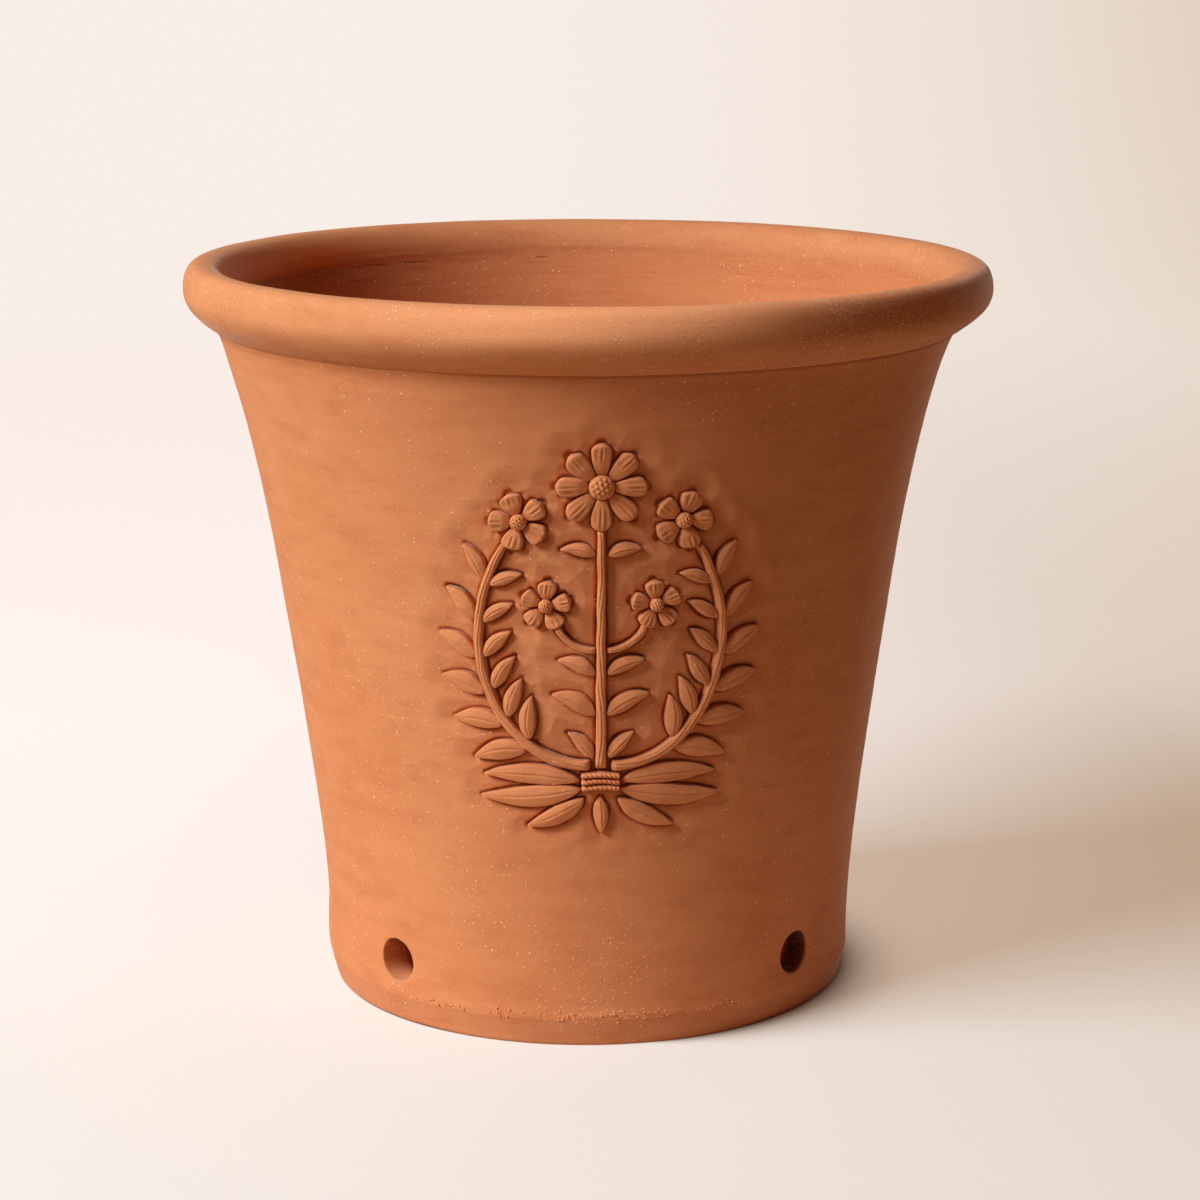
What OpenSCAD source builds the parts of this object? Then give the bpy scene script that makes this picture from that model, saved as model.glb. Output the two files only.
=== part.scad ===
// Terracotta garden pot: a flared wall on a base slab, a thick rolled rim, four drain holes low in
// the wall, and a moulded spray of laurel and daisies on the front.
// The pot stands on z = 0 with its axis on Z. Its front is towards -Y.

/* [Foot] */
// Diameter of the pot where it meets the ground
base_d = 260; // [250:1:264]
// Diameter at the ridge where the wall is joined to the base slab
foot_d = 266; // [260:1:280]
// Thickness of the base slab, which is the height of the ridge
foot_h = 13.5; // [10:0.5:18]
// Small bevel on the bottom edge of the slab
base_edge = 1; // [0.5:0.1:2.5]

/* [Wall] */
// Diameter that the wall's curve is drawn to a quarter of the way up
skirt_d = 264; // [258:1:274]
// Diameter that the wall's curve is drawn to half way up
belly_d = 310; // [296:1:322]
// Diameter that the wall's curve is drawn to three quarters of the way up
throat_d = 307; // [298:1:322]
// Diameter under the rim
neck_d = 365; // [355:1:375]
// Thickness of the wall at the ridge
wall_foot_t = 15; // [12:0.5:18]
// Thickness of the wall at the rim
wall_neck_t = 11; // [9:0.5:13]

/* [Rim] */
// Height of the whole pot
pot_h = 364.5; // [350:0.5:400]
// How far the widest line of the rim stands out beyond the wall under it
roll_out = 17.5; // [13:0.5:24]
// Height of the rim, from the crease under it to its crest
rim_h = 32; // [28:0.5:36]
// How far the widest line of the rim lies below the crest
roll_drop = 13; // [10:0.5:16]
// How far the underside of the rim climbs before it turns upright
roll_rise = 9; // [6:0.5:12]
// How far the crest lies inside the widest line
crest_in = 9; // [7:0.5:12]
// How far the face of the mouth is set back from the inner face of the wall below
mouth_step = 6; // [4:0.5:8]
// How far the upright face of the mouth starts below the crest
mouth_drop = 14.5; // [12:0.5:17]
// How far the inner corner of the lip is eased back
lip_ease = 2; // [0:0.5:4]
// How far the seam inside the mouth lies below the crest
seam_drop = 19.5; // [18.5:0.5:24]

/* [Drain holes] */
// Diameter of a drain hole
hole_d = 21; // [14:0.5:24]
// Height of the middle of the holes above the ground
hole_z = 32; // [30:0.5:40]
// Angle between the two holes on the front
hole_spread = 94; // [80:1:100]

/* [Spray] */
// How far the foot of the spray lies below the crease under the rim
spray_drop = 223.5; // [216:0.5:230]
// Height of the middle of the daisy above the foot of the spray
top_y = 171; // [168:0.5:175]
// Layer of slip between two pieces of clay, left open here
slip_gap = 0.3; // [0.2:0.05:0.5]
// Height of the cut edge that goes round each leaf, petal and stem
edge_h = 1.2; // [0.8:0.1:1.6]
// Gap between a leaf or petal and what it grows from
bud_gap = 0.5; // [0.4:0.1:1]
// Depth of the groove along the middle of a leaf or petal
vein_dip = 0.6; // [0.3:0.1:0.9]

/* [Stems] */
// Width of the branches and the centre stem at the foot
stem_w = 5; // [4:0.2:5.6]
// Width of the branches and the centre stem at the tip
stem_tip_w = 3.4; // [2.6:0.2:4]
// How far the stems stand out from the wall
stem_h = 3.2; // [2.4:0.2:4]
// Width of a twig
twig_w = 2.8; // [2.2:0.2:3.4]
// How far a twig stands out from the wall
twig_h = 2.6; // [2:0.2:3.2]
// Height of the foot of the centre stem
stem_y = 34; // [33:0.5:36]
// How far to the side the curve of a branch is drawn
branch_reach = 75; // [73:0.5:77]
// How far to the side a branch ends
branch_tip_x = 45; // [44:0.5:46.5]
// Height at which a branch ends
branch_tip_y = 142; // [140:0.5:144]
// Height at which the twigs leave the centre stem
twig_y = 92; // [90:0.5:96]
// How far to the side a twig ends
twig_reach = 20; // [19.5:0.5:21]
// How far a twig climbs
twig_rise = 11; // [10:0.5:12]

/* [Leaves] */
// Length of the lowest leaf on the outer side of a branch
outer_len = 26; // [22:0.5:28]
// How much shorter each outer leaf is than the one below it
outer_step = 1.5; // [1:0.1:2]
// Length of the lowest leaf on the inner side of a branch
inner_len = 21; // [17:0.5:22]
// How much shorter each inner leaf is than the one below it
inner_step = 1.1; // [0.8:0.1:1.6]
// Length of the lowest leaf on the centre stem
centre_len = 22; // [18:0.5:25]
// Length of the longest leaf of the fan at the foot
fan_len = 48; // [42:0.5:52]
// Width of a leaf for each millimetre of its length
leaf_ratio = 0.39; // [0.32:0.01:0.42]
// How far a leaf stands out from the wall
leaf_h = 3.3; // [2.4:0.1:4]
// Number of leaves on each side of a branch
leaf_count = 6; // [4:1:6]

/* [Flowers] */
// Radius of the daisy on the centre stem
top_r = 20.5; // [18:0.5:22]
// Radius of the flowers at the tips of the branches
tip_r = 13.5; // [12:0.5:14]
// Radius of the flowers on the twigs
twig_r = 11.5; // [10:0.5:12]
// Radius of a flower's middle for each millimetre of the flower's radius
boss_ratio = 0.29; // [0.25:0.01:0.32]
// How far the petals stand out from the wall
petal_h = 3.8; // [3:0.1:4.4]
// How far the middle of a flower stands out beyond its petals
boss_rise = 1.4; // [0.8:0.1:2]
// Number of petals on the daisy
top_petals = 8; // [7:1:9]
// Number of petals on the smaller flowers
side_petals = 5; // [5:1:6]

/* [Tie] */
// Width of the band that ties the stems
band_w = 17; // [14:0.5:18]
// Height of each of its turns
turn_w = 2.6; // [2:0.1:2.8]
// How far the band stands out from the wall
band_h = 4.4; // [3.6:0.1:5]
// Height of the middle of the band
band_y = 26.5; // [26:0.5:27.5]
// How far the middle of each turn is bowed up
band_bow = 2; // [1:0.5:2.5]

/* [Hidden] */

// Colours of the fired clay
body_clay = [0.78, 0.46, 0.30];
rim_clay = [0.82, 0.50, 0.34];
foot_clay = [0.73, 0.42, 0.27];
stem_clay = [0.74, 0.42, 0.26];
leaf_clay = [0.80, 0.48, 0.31];
petal_clay = [0.84, 0.53, 0.36];

// Fineness of the turned pieces and of the curves in their outlines
turned = 180;
wall_steps = 24;
bend_steps = 8;

// Heights and radii that the turned pieces share
neck_z = pot_h - rim_h;
seam_z = pot_h - seam_drop;
mouth_z = pot_h - mouth_drop;
roll_z = pot_h - roll_drop;
neck_r = neck_d / 2;
rim_r = neck_r + roll_out;
crest_r = rim_r - crest_in;
mouth_r = neck_r - wall_neck_t + mouth_step;

// Places across the face of a sprig, from edge to edge
ACROSS = [-1, -0.5, 0, 0.5, 1];
LEFT = -1;
RIGHT = 1;

// Height of the foot of the spray above the ground
relief_z = neck_z - spray_drop;

// The branch leaves the tie almost level, swings out and comes back in to its tip
branch_path = [
  [stem_w + bud_gap, stem_y + bud_gap * 2],
  [branch_reach * 0.613, stem_y],
  [branch_reach, between(stem_y, branch_tip_y, 0.537)],
  [branch_tip_x, branch_tip_y]];
// The centre stem stops just under the daisy
stem_end = top_y - top_r - bud_gap;
centre_path = [[0, stem_y], [0, (stem_y + stem_end) / 2], [0, stem_end]];
top_at = [0, top_y];
// Twigs leave the centre stem level and turn up to their flowers
twig_path = [
  [stem_w / 2 + bud_gap, twig_y],
  [twig_reach * 0.75, twig_y + twig_rise * 0.1],
  [twig_reach, twig_y + twig_rise]];

// Leaves along a branch: shares of it where they start and end, spread from it, and curl
OUTER_ROW = [0.25, 0.89, 32, 16];
INNER_ROW = [0.27, 0.88, 36, 16];
// Pairs on the centre stem: share of its height, angle, share of the longest leaf, and curl
CENTRE_PAIRS = [[0.224, 50, 1, -22], [0.397, 46, 0.84, -22], [0.897, 34, 0.72, -22]];
// Pairs of the fan: place beside the band in its widths, place up from its middle in turns, angle,
// share of the longest leaf, curl, and share of the width
FAN_PAIRS = [
  [0.547, 0.38, 12, 0.95, -10, 0.56],
  [0.518, -1.35, -14, 1, 8, 0.58],
  [0.441, -3.27, -40, 0.62, 12, 0.8]];
// Half width of a leaf at its two ends
leaf_point = 0.25;
// Share of the way round that the petals of a flower fill
petal_fill = 0.86;
// Turn of the flowers on the branches and twigs
tip_turn = 70;
twig_turn = 96;

// Fineness of the sprigs
leaf_rings = 8;
petal_rings = 4;
branch_rings = 24;
centre_rings = 12;
twig_rings = 8;
band_rings = 8;
boss_sides = 12;

// Outside of the wall at height z: a smooth curve drawn through the five diameters
function wall_r(z) =
  let (s = (z - foot_h) / (neck_z - foot_h), q = 1 - s)
  (foot_d * q ^ 4 + 4 * skirt_d * s * q ^ 3 + 6 * belly_d * s ^ 2 * q ^ 2
    + 4 * throat_d * s ^ 3 * q + neck_d * s ^ 4) / 2;

// Inside of the wall at height z
function inner_r(z) =
  let (s = (z - foot_h) / (neck_z - foot_h))
  wall_r(z) - wall_foot_t * (1 - s) - wall_neck_t * s;

// Rounded corner of an outline, from a to b, without the point b itself
function bend(a, corner, b) =
  [for (i = [0 : bend_steps - 1]) let (t = i / bend_steps)
    a * (1 - t) ^ 2 + corner * 2 * t * (1 - t) + b * t ^ 2];

function between(a, b, t) = a + (b - a) * t;
function unit(v) = v / norm(v);
function polar(length, angle) = length * [cos(angle), sin(angle)];
function mirrored(p, side) = [p.x * side, p.y];

// Point and direction on a smooth path through control points of any number
function on_path(p, t) =
  len(p) == 1 ? p[0]
    : on_path([for (i = [0 : len(p) - 2]) between(p[i], p[i + 1], t)], t);
function along_path(p, t) =
  unit(on_path([for (i = [0 : len(p) - 2]) p[i + 1] - p[i]], t));

// Place on the front of the pot: p.x along the wall from its middle, p.y up from the foot of the
// spray, and h out from the wall
function on_wall(p, h) =
  let (z = relief_z + p.y, r = wall_r(z), a = p.x / r * 180 / PI - 90)
  [(r + h) * cos(a), (r + h) * sin(a), z];

// Height of a sprig's face across its width: a cut edge, a rounded cheek and a groove in the middle
function face_h(s, crown, dip) =
  abs(s) == 1 ? edge_h : s == 0 ? crown - dip : between(edge_h, crown, 0.85);

// One ring round a sprig: over its face from edge to edge and back along the wall
function sprig_ring(c, dir, half_w, crown, dip) =
  let (side = [-dir.y, dir.x] * half_w)
  concat(
    [for (s = ACROSS) on_wall(c + side * s, face_h(s, crown, dip))],
    [on_wall(c + side, slip_gap), on_wall(c - side, slip_gap)]);

// Rings of a stem that tapers along a path
function stem_sprig(path, w0, w1, high, rings) =
  [for (i = [0 : rings]) let (t = i / rings)
    sprig_ring(on_path(path, t), along_path(path, t), between(w0, w1, t) / 2, high, 0)];

// Rings of a leaf that grows from base at an angle and curls by bent degrees towards its tip
function leaf_sprig(base, angle, length, bent, side, high = leaf_h, wide = leaf_ratio) =
  let (path = [for (p = [base, base + polar(length / 2, angle), base + polar(length, angle + bent)])
    mirrored(p, side)])
  [for (i = [0 : leaf_rings])
    let (t = i / leaf_rings, swell = max(sin(180 * t ^ 0.85), 0) ^ 0.8)
    sprig_ring(on_path(path, t), along_path(path, t),
      max(length * wide / 2 * swell, leaf_point),
      between(edge_h, high, 0.3 + 0.7 * swell), vein_dip * swell)];

// Rings of a petal that grows outwards from a flower's middle
function petal_sprig(centre, angle, r0, r1, width) =
  let (dir = polar(1, angle))
  [for (i = [0 : petal_rings])
    let (
      t = i / petal_rings,
      swell = 0.42 + 0.58 * sin(9 + 112 * t),
      tip = t < 1 ? 1 : 0.5)
    sprig_ring(centre + dir * between(r0, r1, t), dir, width / 2 * swell * tip,
      between(edge_h, petal_h, (0.45 + 0.55 * t) * tip), t < 1 ? vein_dip : 0)];

// Rings of a dome, from the wall outwards
function dome_sprig(centre, radius, high) =
  [for (level = [[1, slip_gap], [1, edge_h], [0.8, between(edge_h, high, 0.7)], [0.35, high]])
    [for (i = [0 : boss_sides - 1])
      on_wall(centre + polar(radius * level[0], -360 * i / boss_sides), level[1])]];

// Sprigs of one node: each is a stack of rings that is skinned and closed at both ends
module sprigs(stacks) {
  rings = len(stacks[0]);
  size = len(stacks[0][0]);
  polyhedron(
    points = [for (stack = stacks) for (ring = stack) each ring],
    faces = [for (k = [0 : len(stacks) - 1]) each skin(k * rings * size, rings, size)],
    convexity = 6);
}

function skin(first, rings, size) =
  let (last = first + (rings - 1) * size)
  concat(
    [for (i = [0 : rings - 2], j = [0 : size - 1])
      let (a = first + i * size + j, b = first + i * size + (j + 1) % size)
      each [[a, b, b + size], [a, b + size, a + size]]],
    [for (j = [0 : size - 3]) [first + size - 1, first + j + 1, first + j]],
    [for (j = [0 : size - 3]) [last + size - 1, last + j, last + j + 1]]);

// Petals of one flower
function petals(centre, radius, count, turn) =
  let (
    r0 = radius * boss_ratio + bud_gap,
    width = petal_fill * 2 * PI / count * between(r0, radius, 0.55))
  [for (i = [0 : count - 1]) petal_sprig(centre, turn + 360 * i / count, r0, radius, width)];

// Where a flower sits when its outer edge is just clear of the end of the stem that carries it
function flower_at(path, radius) =
  on_path(path, 1) + along_path(path, 1) * (radius + bud_gap);

// Leaves along one side of a branch: turn is 1 for the left hand of the way it grows, -1 for the right
function branch_leaves(length, step, row, turn, side) =
  [for (i = [0 : leaf_count - 1])
    let (
      t = between(row[0], row[1], i / (leaf_count - 1)),
      dir = along_path(branch_path, t),
      grow = atan2(dir.y, dir.x),
      base = on_path(branch_path, t)
        + polar(between(stem_w, stem_tip_w, t) / 2 + bud_gap, grow + 90 * turn))
    leaf_sprig(base, grow + row[2] * turn, length - step * i, row[3] * turn, side)];

module base_slab() {
  color(foot_clay)
    rotate_extrude($fn = turned)
      polygon([
        [0, 0], [base_d / 2 - base_edge, 0], [base_d / 2, base_edge],
        [foot_d / 2, foot_h], [0, foot_h]]);
}

module pot_wall() {
  outside = [for (i = [0 : wall_steps]) let (z = between(foot_h, neck_z - slip_gap, i / wall_steps))
    [wall_r(z), z]];
  inside = [for (i = [0 : wall_steps]) let (z = between(seam_z - slip_gap, foot_h, i / wall_steps))
    [inner_r(z), z]];
  color(body_clay)
    difference() {
      rotate_extrude($fn = turned)
        polygon(concat(outside, inside));
      drain_holes();
    }
}

// The four drain holes point straight at the axis. Each one at the back lies a quarter turn from the
// one at the front on its side.
module drain_holes() {
  through = wall_r(hole_z) - inner_r(hole_z);
  for (turn = [0, 90], side = [LEFT, RIGHT])
    rotate([0, 90, -90 + side * (hole_spread / 2 + turn)])
      translate([-hole_z, 0, inner_r(hole_z) - through])
        cylinder(d = hole_d, h = 3 * through, $fn = turned);
}

module rim_ring() {
  color(rim_clay)
    rotate_extrude($fn = turned)
      polygon(concat(
        bend([wall_r(neck_z), neck_z], [rim_r, neck_z + roll_rise], [rim_r, roll_z]),
        bend([rim_r, roll_z], [rim_r, pot_h], [crest_r, pot_h]),
        bend([crest_r, pot_h], [mouth_r + lip_ease, pot_h], [mouth_r, mouth_z]),
        [[mouth_r, mouth_z], [inner_r(seam_z), seam_z]]));
}

module centre_stem() {
  color(stem_clay) sprigs([stem_sprig(centre_path, stem_w, stem_tip_w, stem_h, centre_rings)]);
}

module branch(side) {
  path = [for (p = branch_path) mirrored(p, side)];
  color(stem_clay) sprigs([stem_sprig(path, stem_w, stem_tip_w, stem_h, branch_rings)]);
}

module twig(side) {
  path = [for (p = twig_path) mirrored(p, side)];
  color(stem_clay) sprigs([stem_sprig(path, twig_w, twig_w, twig_h, twig_rings)]);
}

module outer_leaves(side) {
  color(leaf_clay) sprigs(branch_leaves(outer_len, outer_step, OUTER_ROW, -1, side));
}

module inner_leaves(side) {
  color(leaf_clay) sprigs(branch_leaves(inner_len, inner_step, INNER_ROW, 1, side));
}

// Three pairs of leaves on the centre stem, shorter towards the flower
module centre_leaves() {
  color(leaf_clay)
    sprigs([for (side = [LEFT, RIGHT], p = CENTRE_PAIRS)
      leaf_sprig([stem_w / 2 + bud_gap, between(stem_y, stem_end, p[0])],
        p[1], centre_len * p[2], p[3], side)]);
}

// Leaves that spread from the tie: three pairs to the sides, a short pair up and one straight down
module fan_leaves() {
  color(leaf_clay)
    sprigs(concat(
      [for (side = [LEFT, RIGHT], p = FAN_PAIRS)
        leaf_sprig([band_w * p[0] + bud_gap, band_y + turn_w * p[1]],
          p[2], fan_len * p[3], p[4], side, leaf_h, leaf_ratio * p[5])],
      [for (side = [LEFT, RIGHT])
        leaf_sprig([stem_w * 0.66 + bud_gap, stem_y + stem_w], 66, fan_len * 0.35, -20, side)],
      [leaf_sprig([0, band_y - turn_w * 2.9], -90, fan_len * 0.38, 0, RIGHT)]));
}

module flower_petals(centre, radius, count, turn) {
  color(petal_clay) sprigs(petals(centre, radius, count, turn));
}

module flower_boss(centre, radius) {
  color(petal_clay) sprigs([dome_sprig(centre, radius * boss_ratio, petal_h + boss_rise)]);
}

// The tie is three turns of cord side by side, bowed up a little over the stems
module tie_band() {
  color(stem_clay)
    sprigs([for (k = [-1, 0, 1]) let (y = band_y + k * (turn_w + bud_gap))
      stem_sprig([[-band_w / 2, y], [0, y + band_bow], [band_w / 2, y]],
        turn_w, turn_w, band_h, band_rings)]);
}

base_slab();
pot_wall();
rim_ring();
centre_stem();
branch(LEFT);  // branch_left
branch(RIGHT);  // branch_right
twig(LEFT);  // twig_left
twig(RIGHT);  // twig_right
outer_leaves(LEFT);  // outer_leaves_left
outer_leaves(RIGHT);  // outer_leaves_right
inner_leaves(LEFT);  // inner_leaves_left
inner_leaves(RIGHT);  // inner_leaves_right
centre_leaves();
fan_leaves();
flower_petals(top_at, top_r, top_petals, 90);
flower_boss(top_at, top_r);  // top_boss
flower_petals(mirrored(flower_at(branch_path, tip_r), LEFT), tip_r, side_petals, 180 - tip_turn);  // tip_petals_left
flower_boss(mirrored(flower_at(branch_path, tip_r), LEFT), tip_r);  // tip_boss_left
flower_petals(flower_at(branch_path, tip_r), tip_r, side_petals, tip_turn);  // tip_petals_right
flower_boss(flower_at(branch_path, tip_r), tip_r);  // tip_boss_right
flower_petals(mirrored(flower_at(twig_path, twig_r), LEFT), twig_r, side_petals, 180 - twig_turn);  // twig_petals_left
flower_boss(mirrored(flower_at(twig_path, twig_r), LEFT), twig_r);  // twig_boss_left
flower_petals(flower_at(twig_path, twig_r), twig_r, side_petals, twig_turn);  // twig_petals_right
flower_boss(flower_at(twig_path, twig_r), twig_r);  // twig_boss_right
tie_band();
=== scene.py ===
# %% [markdown]
# # A terracotta garden pot
#
# The real pot is made of three pieces of red clay: a round base slab, a flared wall that is joined
# to it, and a thick rolled rim on top. A spray of leaves and flowers, pressed in small moulds, is
# luted to the front with slip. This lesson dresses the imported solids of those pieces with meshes
# that have the soft, hand-made surface of fired clay. Each mesh stays where its solid is, so the
# pot keeps its size, and each is an object of its own, so the pieces can still be told apart.

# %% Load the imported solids
import itertools
import math

import bpy
import numpy as np
from mathutils import Matrix, Vector


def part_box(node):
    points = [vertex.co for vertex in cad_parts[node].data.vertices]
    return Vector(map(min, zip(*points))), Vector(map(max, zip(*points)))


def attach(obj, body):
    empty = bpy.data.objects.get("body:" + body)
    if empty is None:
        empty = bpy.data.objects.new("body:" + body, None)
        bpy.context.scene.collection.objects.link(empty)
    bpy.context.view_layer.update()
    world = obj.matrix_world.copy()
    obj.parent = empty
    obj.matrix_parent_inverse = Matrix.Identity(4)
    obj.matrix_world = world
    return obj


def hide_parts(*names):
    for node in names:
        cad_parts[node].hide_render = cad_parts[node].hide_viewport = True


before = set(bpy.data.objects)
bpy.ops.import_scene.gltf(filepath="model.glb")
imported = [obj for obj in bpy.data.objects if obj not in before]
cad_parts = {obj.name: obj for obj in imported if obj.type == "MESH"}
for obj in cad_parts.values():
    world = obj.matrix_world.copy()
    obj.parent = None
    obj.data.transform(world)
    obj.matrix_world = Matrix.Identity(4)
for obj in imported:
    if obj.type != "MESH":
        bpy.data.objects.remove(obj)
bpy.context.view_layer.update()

# %% [markdown]
# A turned pot is drawn as a profile: how far the clay is from the axis at each height. The overall
# sizes are read from the solids, and the wall's belly is a smooth curve through five radii. Reading
# the sizes from the frame, and not typing them again, keeps the dressed pot and the solid one alike.

# %% Sizes and the wall's profile, in millimetres
MM = 0.001


def box_mm(node):
    low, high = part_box(node)
    return np.array(low) / MM, np.array(high) / MM


_, (FOOT_R, _, FOOT_H) = box_mm("base_slab")
(_, _, NECK_Z), (RIM_R, _, POT_H) = box_mm("rim_ring")
WALL_CURVE = [FOOT_R, 132, 155, 153.5, RIM_R - 17.5]
WALL_FOOT_T = 15
WALL_NECK_T = 11
SEAM_Z = POT_H - 19.5
MOUTH_Z = POT_H - 14.5
MOUTH_R = WALL_CURVE[-1] - WALL_NECK_T + 6
ROLL_Z = POT_H - 13
ROLL_RISE = 9
CREST_R = RIM_R - 9
LIP_EASE = 2
BASE_R = 130
BASE_EDGE = 1
RELIEF_Z = NECK_Z - 223.5


def bernstein(points, t):
    """Smooth curve through control points of any number, at the places t from 0 to 1."""
    last = len(points) - 1
    t = np.asarray(t, float)
    return sum(
        math.comb(last, k) * np.multiply.outer(t**k * (1 - t) ** (last - k), np.asarray(p, float))
        for k, p in enumerate(points)
    )


def wall_r(z):
    return bernstein(WALL_CURVE, (np.asarray(z, float) - FOOT_H) / (NECK_Z - FOOT_H))


def inner_r(z):
    share = (np.asarray(z, float) - FOOT_H) / (NECK_Z - FOOT_H)
    return wall_r(z) - WALL_FOOT_T * (1 - share) - WALL_NECK_T * share


solid_wall = np.array([v.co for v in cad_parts["pot_wall"].data.vertices]) / MM
solid_r = np.hypot(solid_wall[:, 0], solid_wall[:, 1])
off_curve = np.minimum(abs(solid_r - wall_r(solid_wall[:, 2])), abs(solid_r - inner_r(solid_wall[:, 2])))
print("the drawn wall lies", round(float(np.median(off_curve)), 3), "mm from the solid one")

# %% [markdown]
# Clay worked by hand is never quite true. A displacement modifier could show that, but here meshes are
# worked out as arrays, so a small noise function does it: random values on a lattice, blended smoothly
# between. A fixed seed gives the same pot on each run, and a lattice stretched round the pot turns
# noise into throwing rings. Two things are larger than noise: the rim sits a millimetre or two askew,
# and the foot sagged on the left when the soft pot was set down. Both go into functions that every
# mesh uses, so the pieces stay joined. A mark on one place of the pot, such as that sag, is given by
# its angle from the front, the reach of that, its height, and the reach of that.

# %% Noise and marks for hand-worked clay
NOISE_TABLE = 4096
LATTICE_PRIMES = (73856093, 19349663, 83492791)
RING_STRETCH = [0.1, 0.1, 1]
RIM_SHIFT = 1.7
RIM_TILT = 1.15
ASKEW_FROM = NECK_Z - 22
ASKEW_RUN = 42
SAG = 1.8
SAGGED_SIDE = (-92, 38, 21, 16)
CORNER_BEND = 0.09
CORNER_REACH = 7
CORNER_TURN = -75
CORNER_WIDTH = 40


def ease(t):
    """A step from 0 to 1 that starts and ends softly."""
    return t * t * (3 - 2 * t)


def hill(value, middle, width):
    """A smooth hill: 1 at the middle, and hardly anything two widths away."""
    return np.exp(-(((value - middle) / width) ** 2))


def marked(turn, z, at_turn, turn_reach, at_z, z_reach):
    """1 at one place on the pot, fading away from it."""
    return hill(turn, at_turn, turn_reach) * hill(z, at_z, z_reach)


def turn_of(points):
    """The angle of each point from the front, in degrees."""
    return np.degrees(np.arctan2(points[:, 0], -points[:, 1]))


def clay_noise(points, size, seed):
    """Smooth noise from about -1 to 1 at each point, with lumps of the given size."""
    values = np.random.default_rng(seed).uniform(-1, 1, NOISE_TABLE)
    places = np.asarray(points, float) / size
    cell = np.floor(places).astype(np.int64)
    blend = ease(places - cell)
    total = np.zeros(len(places))
    for corner in itertools.product((0, 1), repeat=3):
        key = np.zeros(len(places), np.int64)
        weight = np.ones(len(places))
        for axis in range(3):
            key ^= (cell[:, axis] + corner[axis]) * LATTICE_PRIMES[axis]
            weight *= blend[:, axis] if corner[axis] else 1 - blend[:, axis]
        total += values[key % NOISE_TABLE] * weight
    return total


def clay_layers(points, seed, *layers):
    """The sum of layers of noise, each given as a height and the size of its lumps."""
    return sum(height * clay_noise(points, size, seed + i) for i, (height, size) in enumerate(layers))


def round_pot(turn, r, z):
    """Points at an angle from the front, in degrees, at a radius and a height.

    The rim was laid on a little askew: off the middle to the right, and lower on that side.
    """
    a = np.radians(turn)
    x = r * np.sin(a)
    top = ease(np.clip((np.asarray(z, float) - ASKEW_FROM) / ASKEW_RUN, 0, 1))
    return np.stack([x + RIM_SHIFT * top, -r * np.cos(a), z - RIM_TILT * top * x / RIM_R], -1)


def sagged(points):
    """How far the soft foot moved on the left: a bulge, and a rounder corner above the slab."""
    turn, z = turn_of(points), points[:, 2]
    off = abs(z - FOOT_H)
    corner = CORNER_BEND * (np.hypot(off, CORNER_REACH) - off) * hill(turn, CORNER_TURN, CORNER_WIDTH)
    return SAG * marked(turn, z, *SAGGED_SIDE) - corner


def thrown(points, seed, lump=0.35, ring=0.09):
    """How far a hand-worked surface stands off the true one: wide lumps, and rings from turning."""
    wide = clay_layers(points, seed, (lump, 120), (0.4 * lump, 38))
    return wide + clay_layers(points * RING_STRETCH, seed + 2, (ring, 6), (0.5 * ring, 2.4))


trial = clay_noise(np.random.default_rng(1).uniform(0, 99, (500, 3)), 3, 1)
print("noise from", round(float(trial.min()), 2), "to", round(float(trial.max()), 2))

# %% [markdown]
# Every mesh below is a grid of points, rows by columns, so one helper joins a grid into quads and
# another turns points and faces into an object. Points are worked out in millimetres, as a potter
# would measure them, and go into Blender in metres.

# %% Helpers for grids and objects


def grid_quads(rows, columns, wrap=False, loop=False, cut=None):
    """Quads of a grid whose points are numbered row by row.

    With wrap the last column joins the first, with loop the last row joins the first, and cut marks
    the quads to leave out.
    """
    index = np.arange(rows * columns).reshape(rows, columns)
    if wrap:
        index = np.concatenate([index, index[:, :1]], 1)
    if loop:
        index = np.concatenate([index, index[:1]])
    quads = np.stack([index[:-1, :-1], index[:-1, 1:], index[1:, 1:], index[1:, :-1]], -1)
    return (quads.reshape(-1, 4) if cut is None else quads[~cut]).tolist()


def tube_faces(rings, sides):
    """Faces of a tube of rings of points, closed at both ends."""
    ends = [list(range(sides))[::-1], list(range((rings - 1) * sides, rings * sides))]
    return grid_quads(rings, sides, wrap=True) + ends


def new_object(name, data):
    made = bpy.data.objects.new(name, data)
    bpy.context.scene.collection.objects.link(made)
    return made


def make_piece(name, points, faces, node, painted_shading, grit):
    """An object from points in millimetres, riding on the pot and standing for a solid.

    Two marks go with each point for the materials: how much painted shade it gets, or below 0 how
    much painted light, and how much grit shows there.
    """
    mesh = bpy.data.meshes.new(name)
    mesh.from_pydata((np.asarray(points) * MM).tolist(), [], faces)
    mesh.validate()
    mesh.shade_smooth()
    piece = new_object(name, mesh)
    for mark, values in (("painted_shading", painted_shading), ("grit", grit)):
        marks = mesh.attributes.new(mark, "FLOAT", "POINT")
        marks.data.foreach_set("value", np.broadcast_to(values, len(points)).astype(np.float32))
    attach(piece, "root")
    if node:
        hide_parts(node)
    print(name, len(mesh.vertices), "points")
    return piece


print("quads in a tube of 3 rings of 4 points:", len(grid_quads(3, 4, wrap=True)))

# %% [markdown]
# The spray is drawn flat first, as a potter would lay it out: x along the wall from its middle, y up
# from the foot of the spray. Each sprig is a middle line with a half width and a height along it.
# The same list shapes the sprigs and the clay round them, so that the two always fit together. Its
# numbers are those of the solids.

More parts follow.
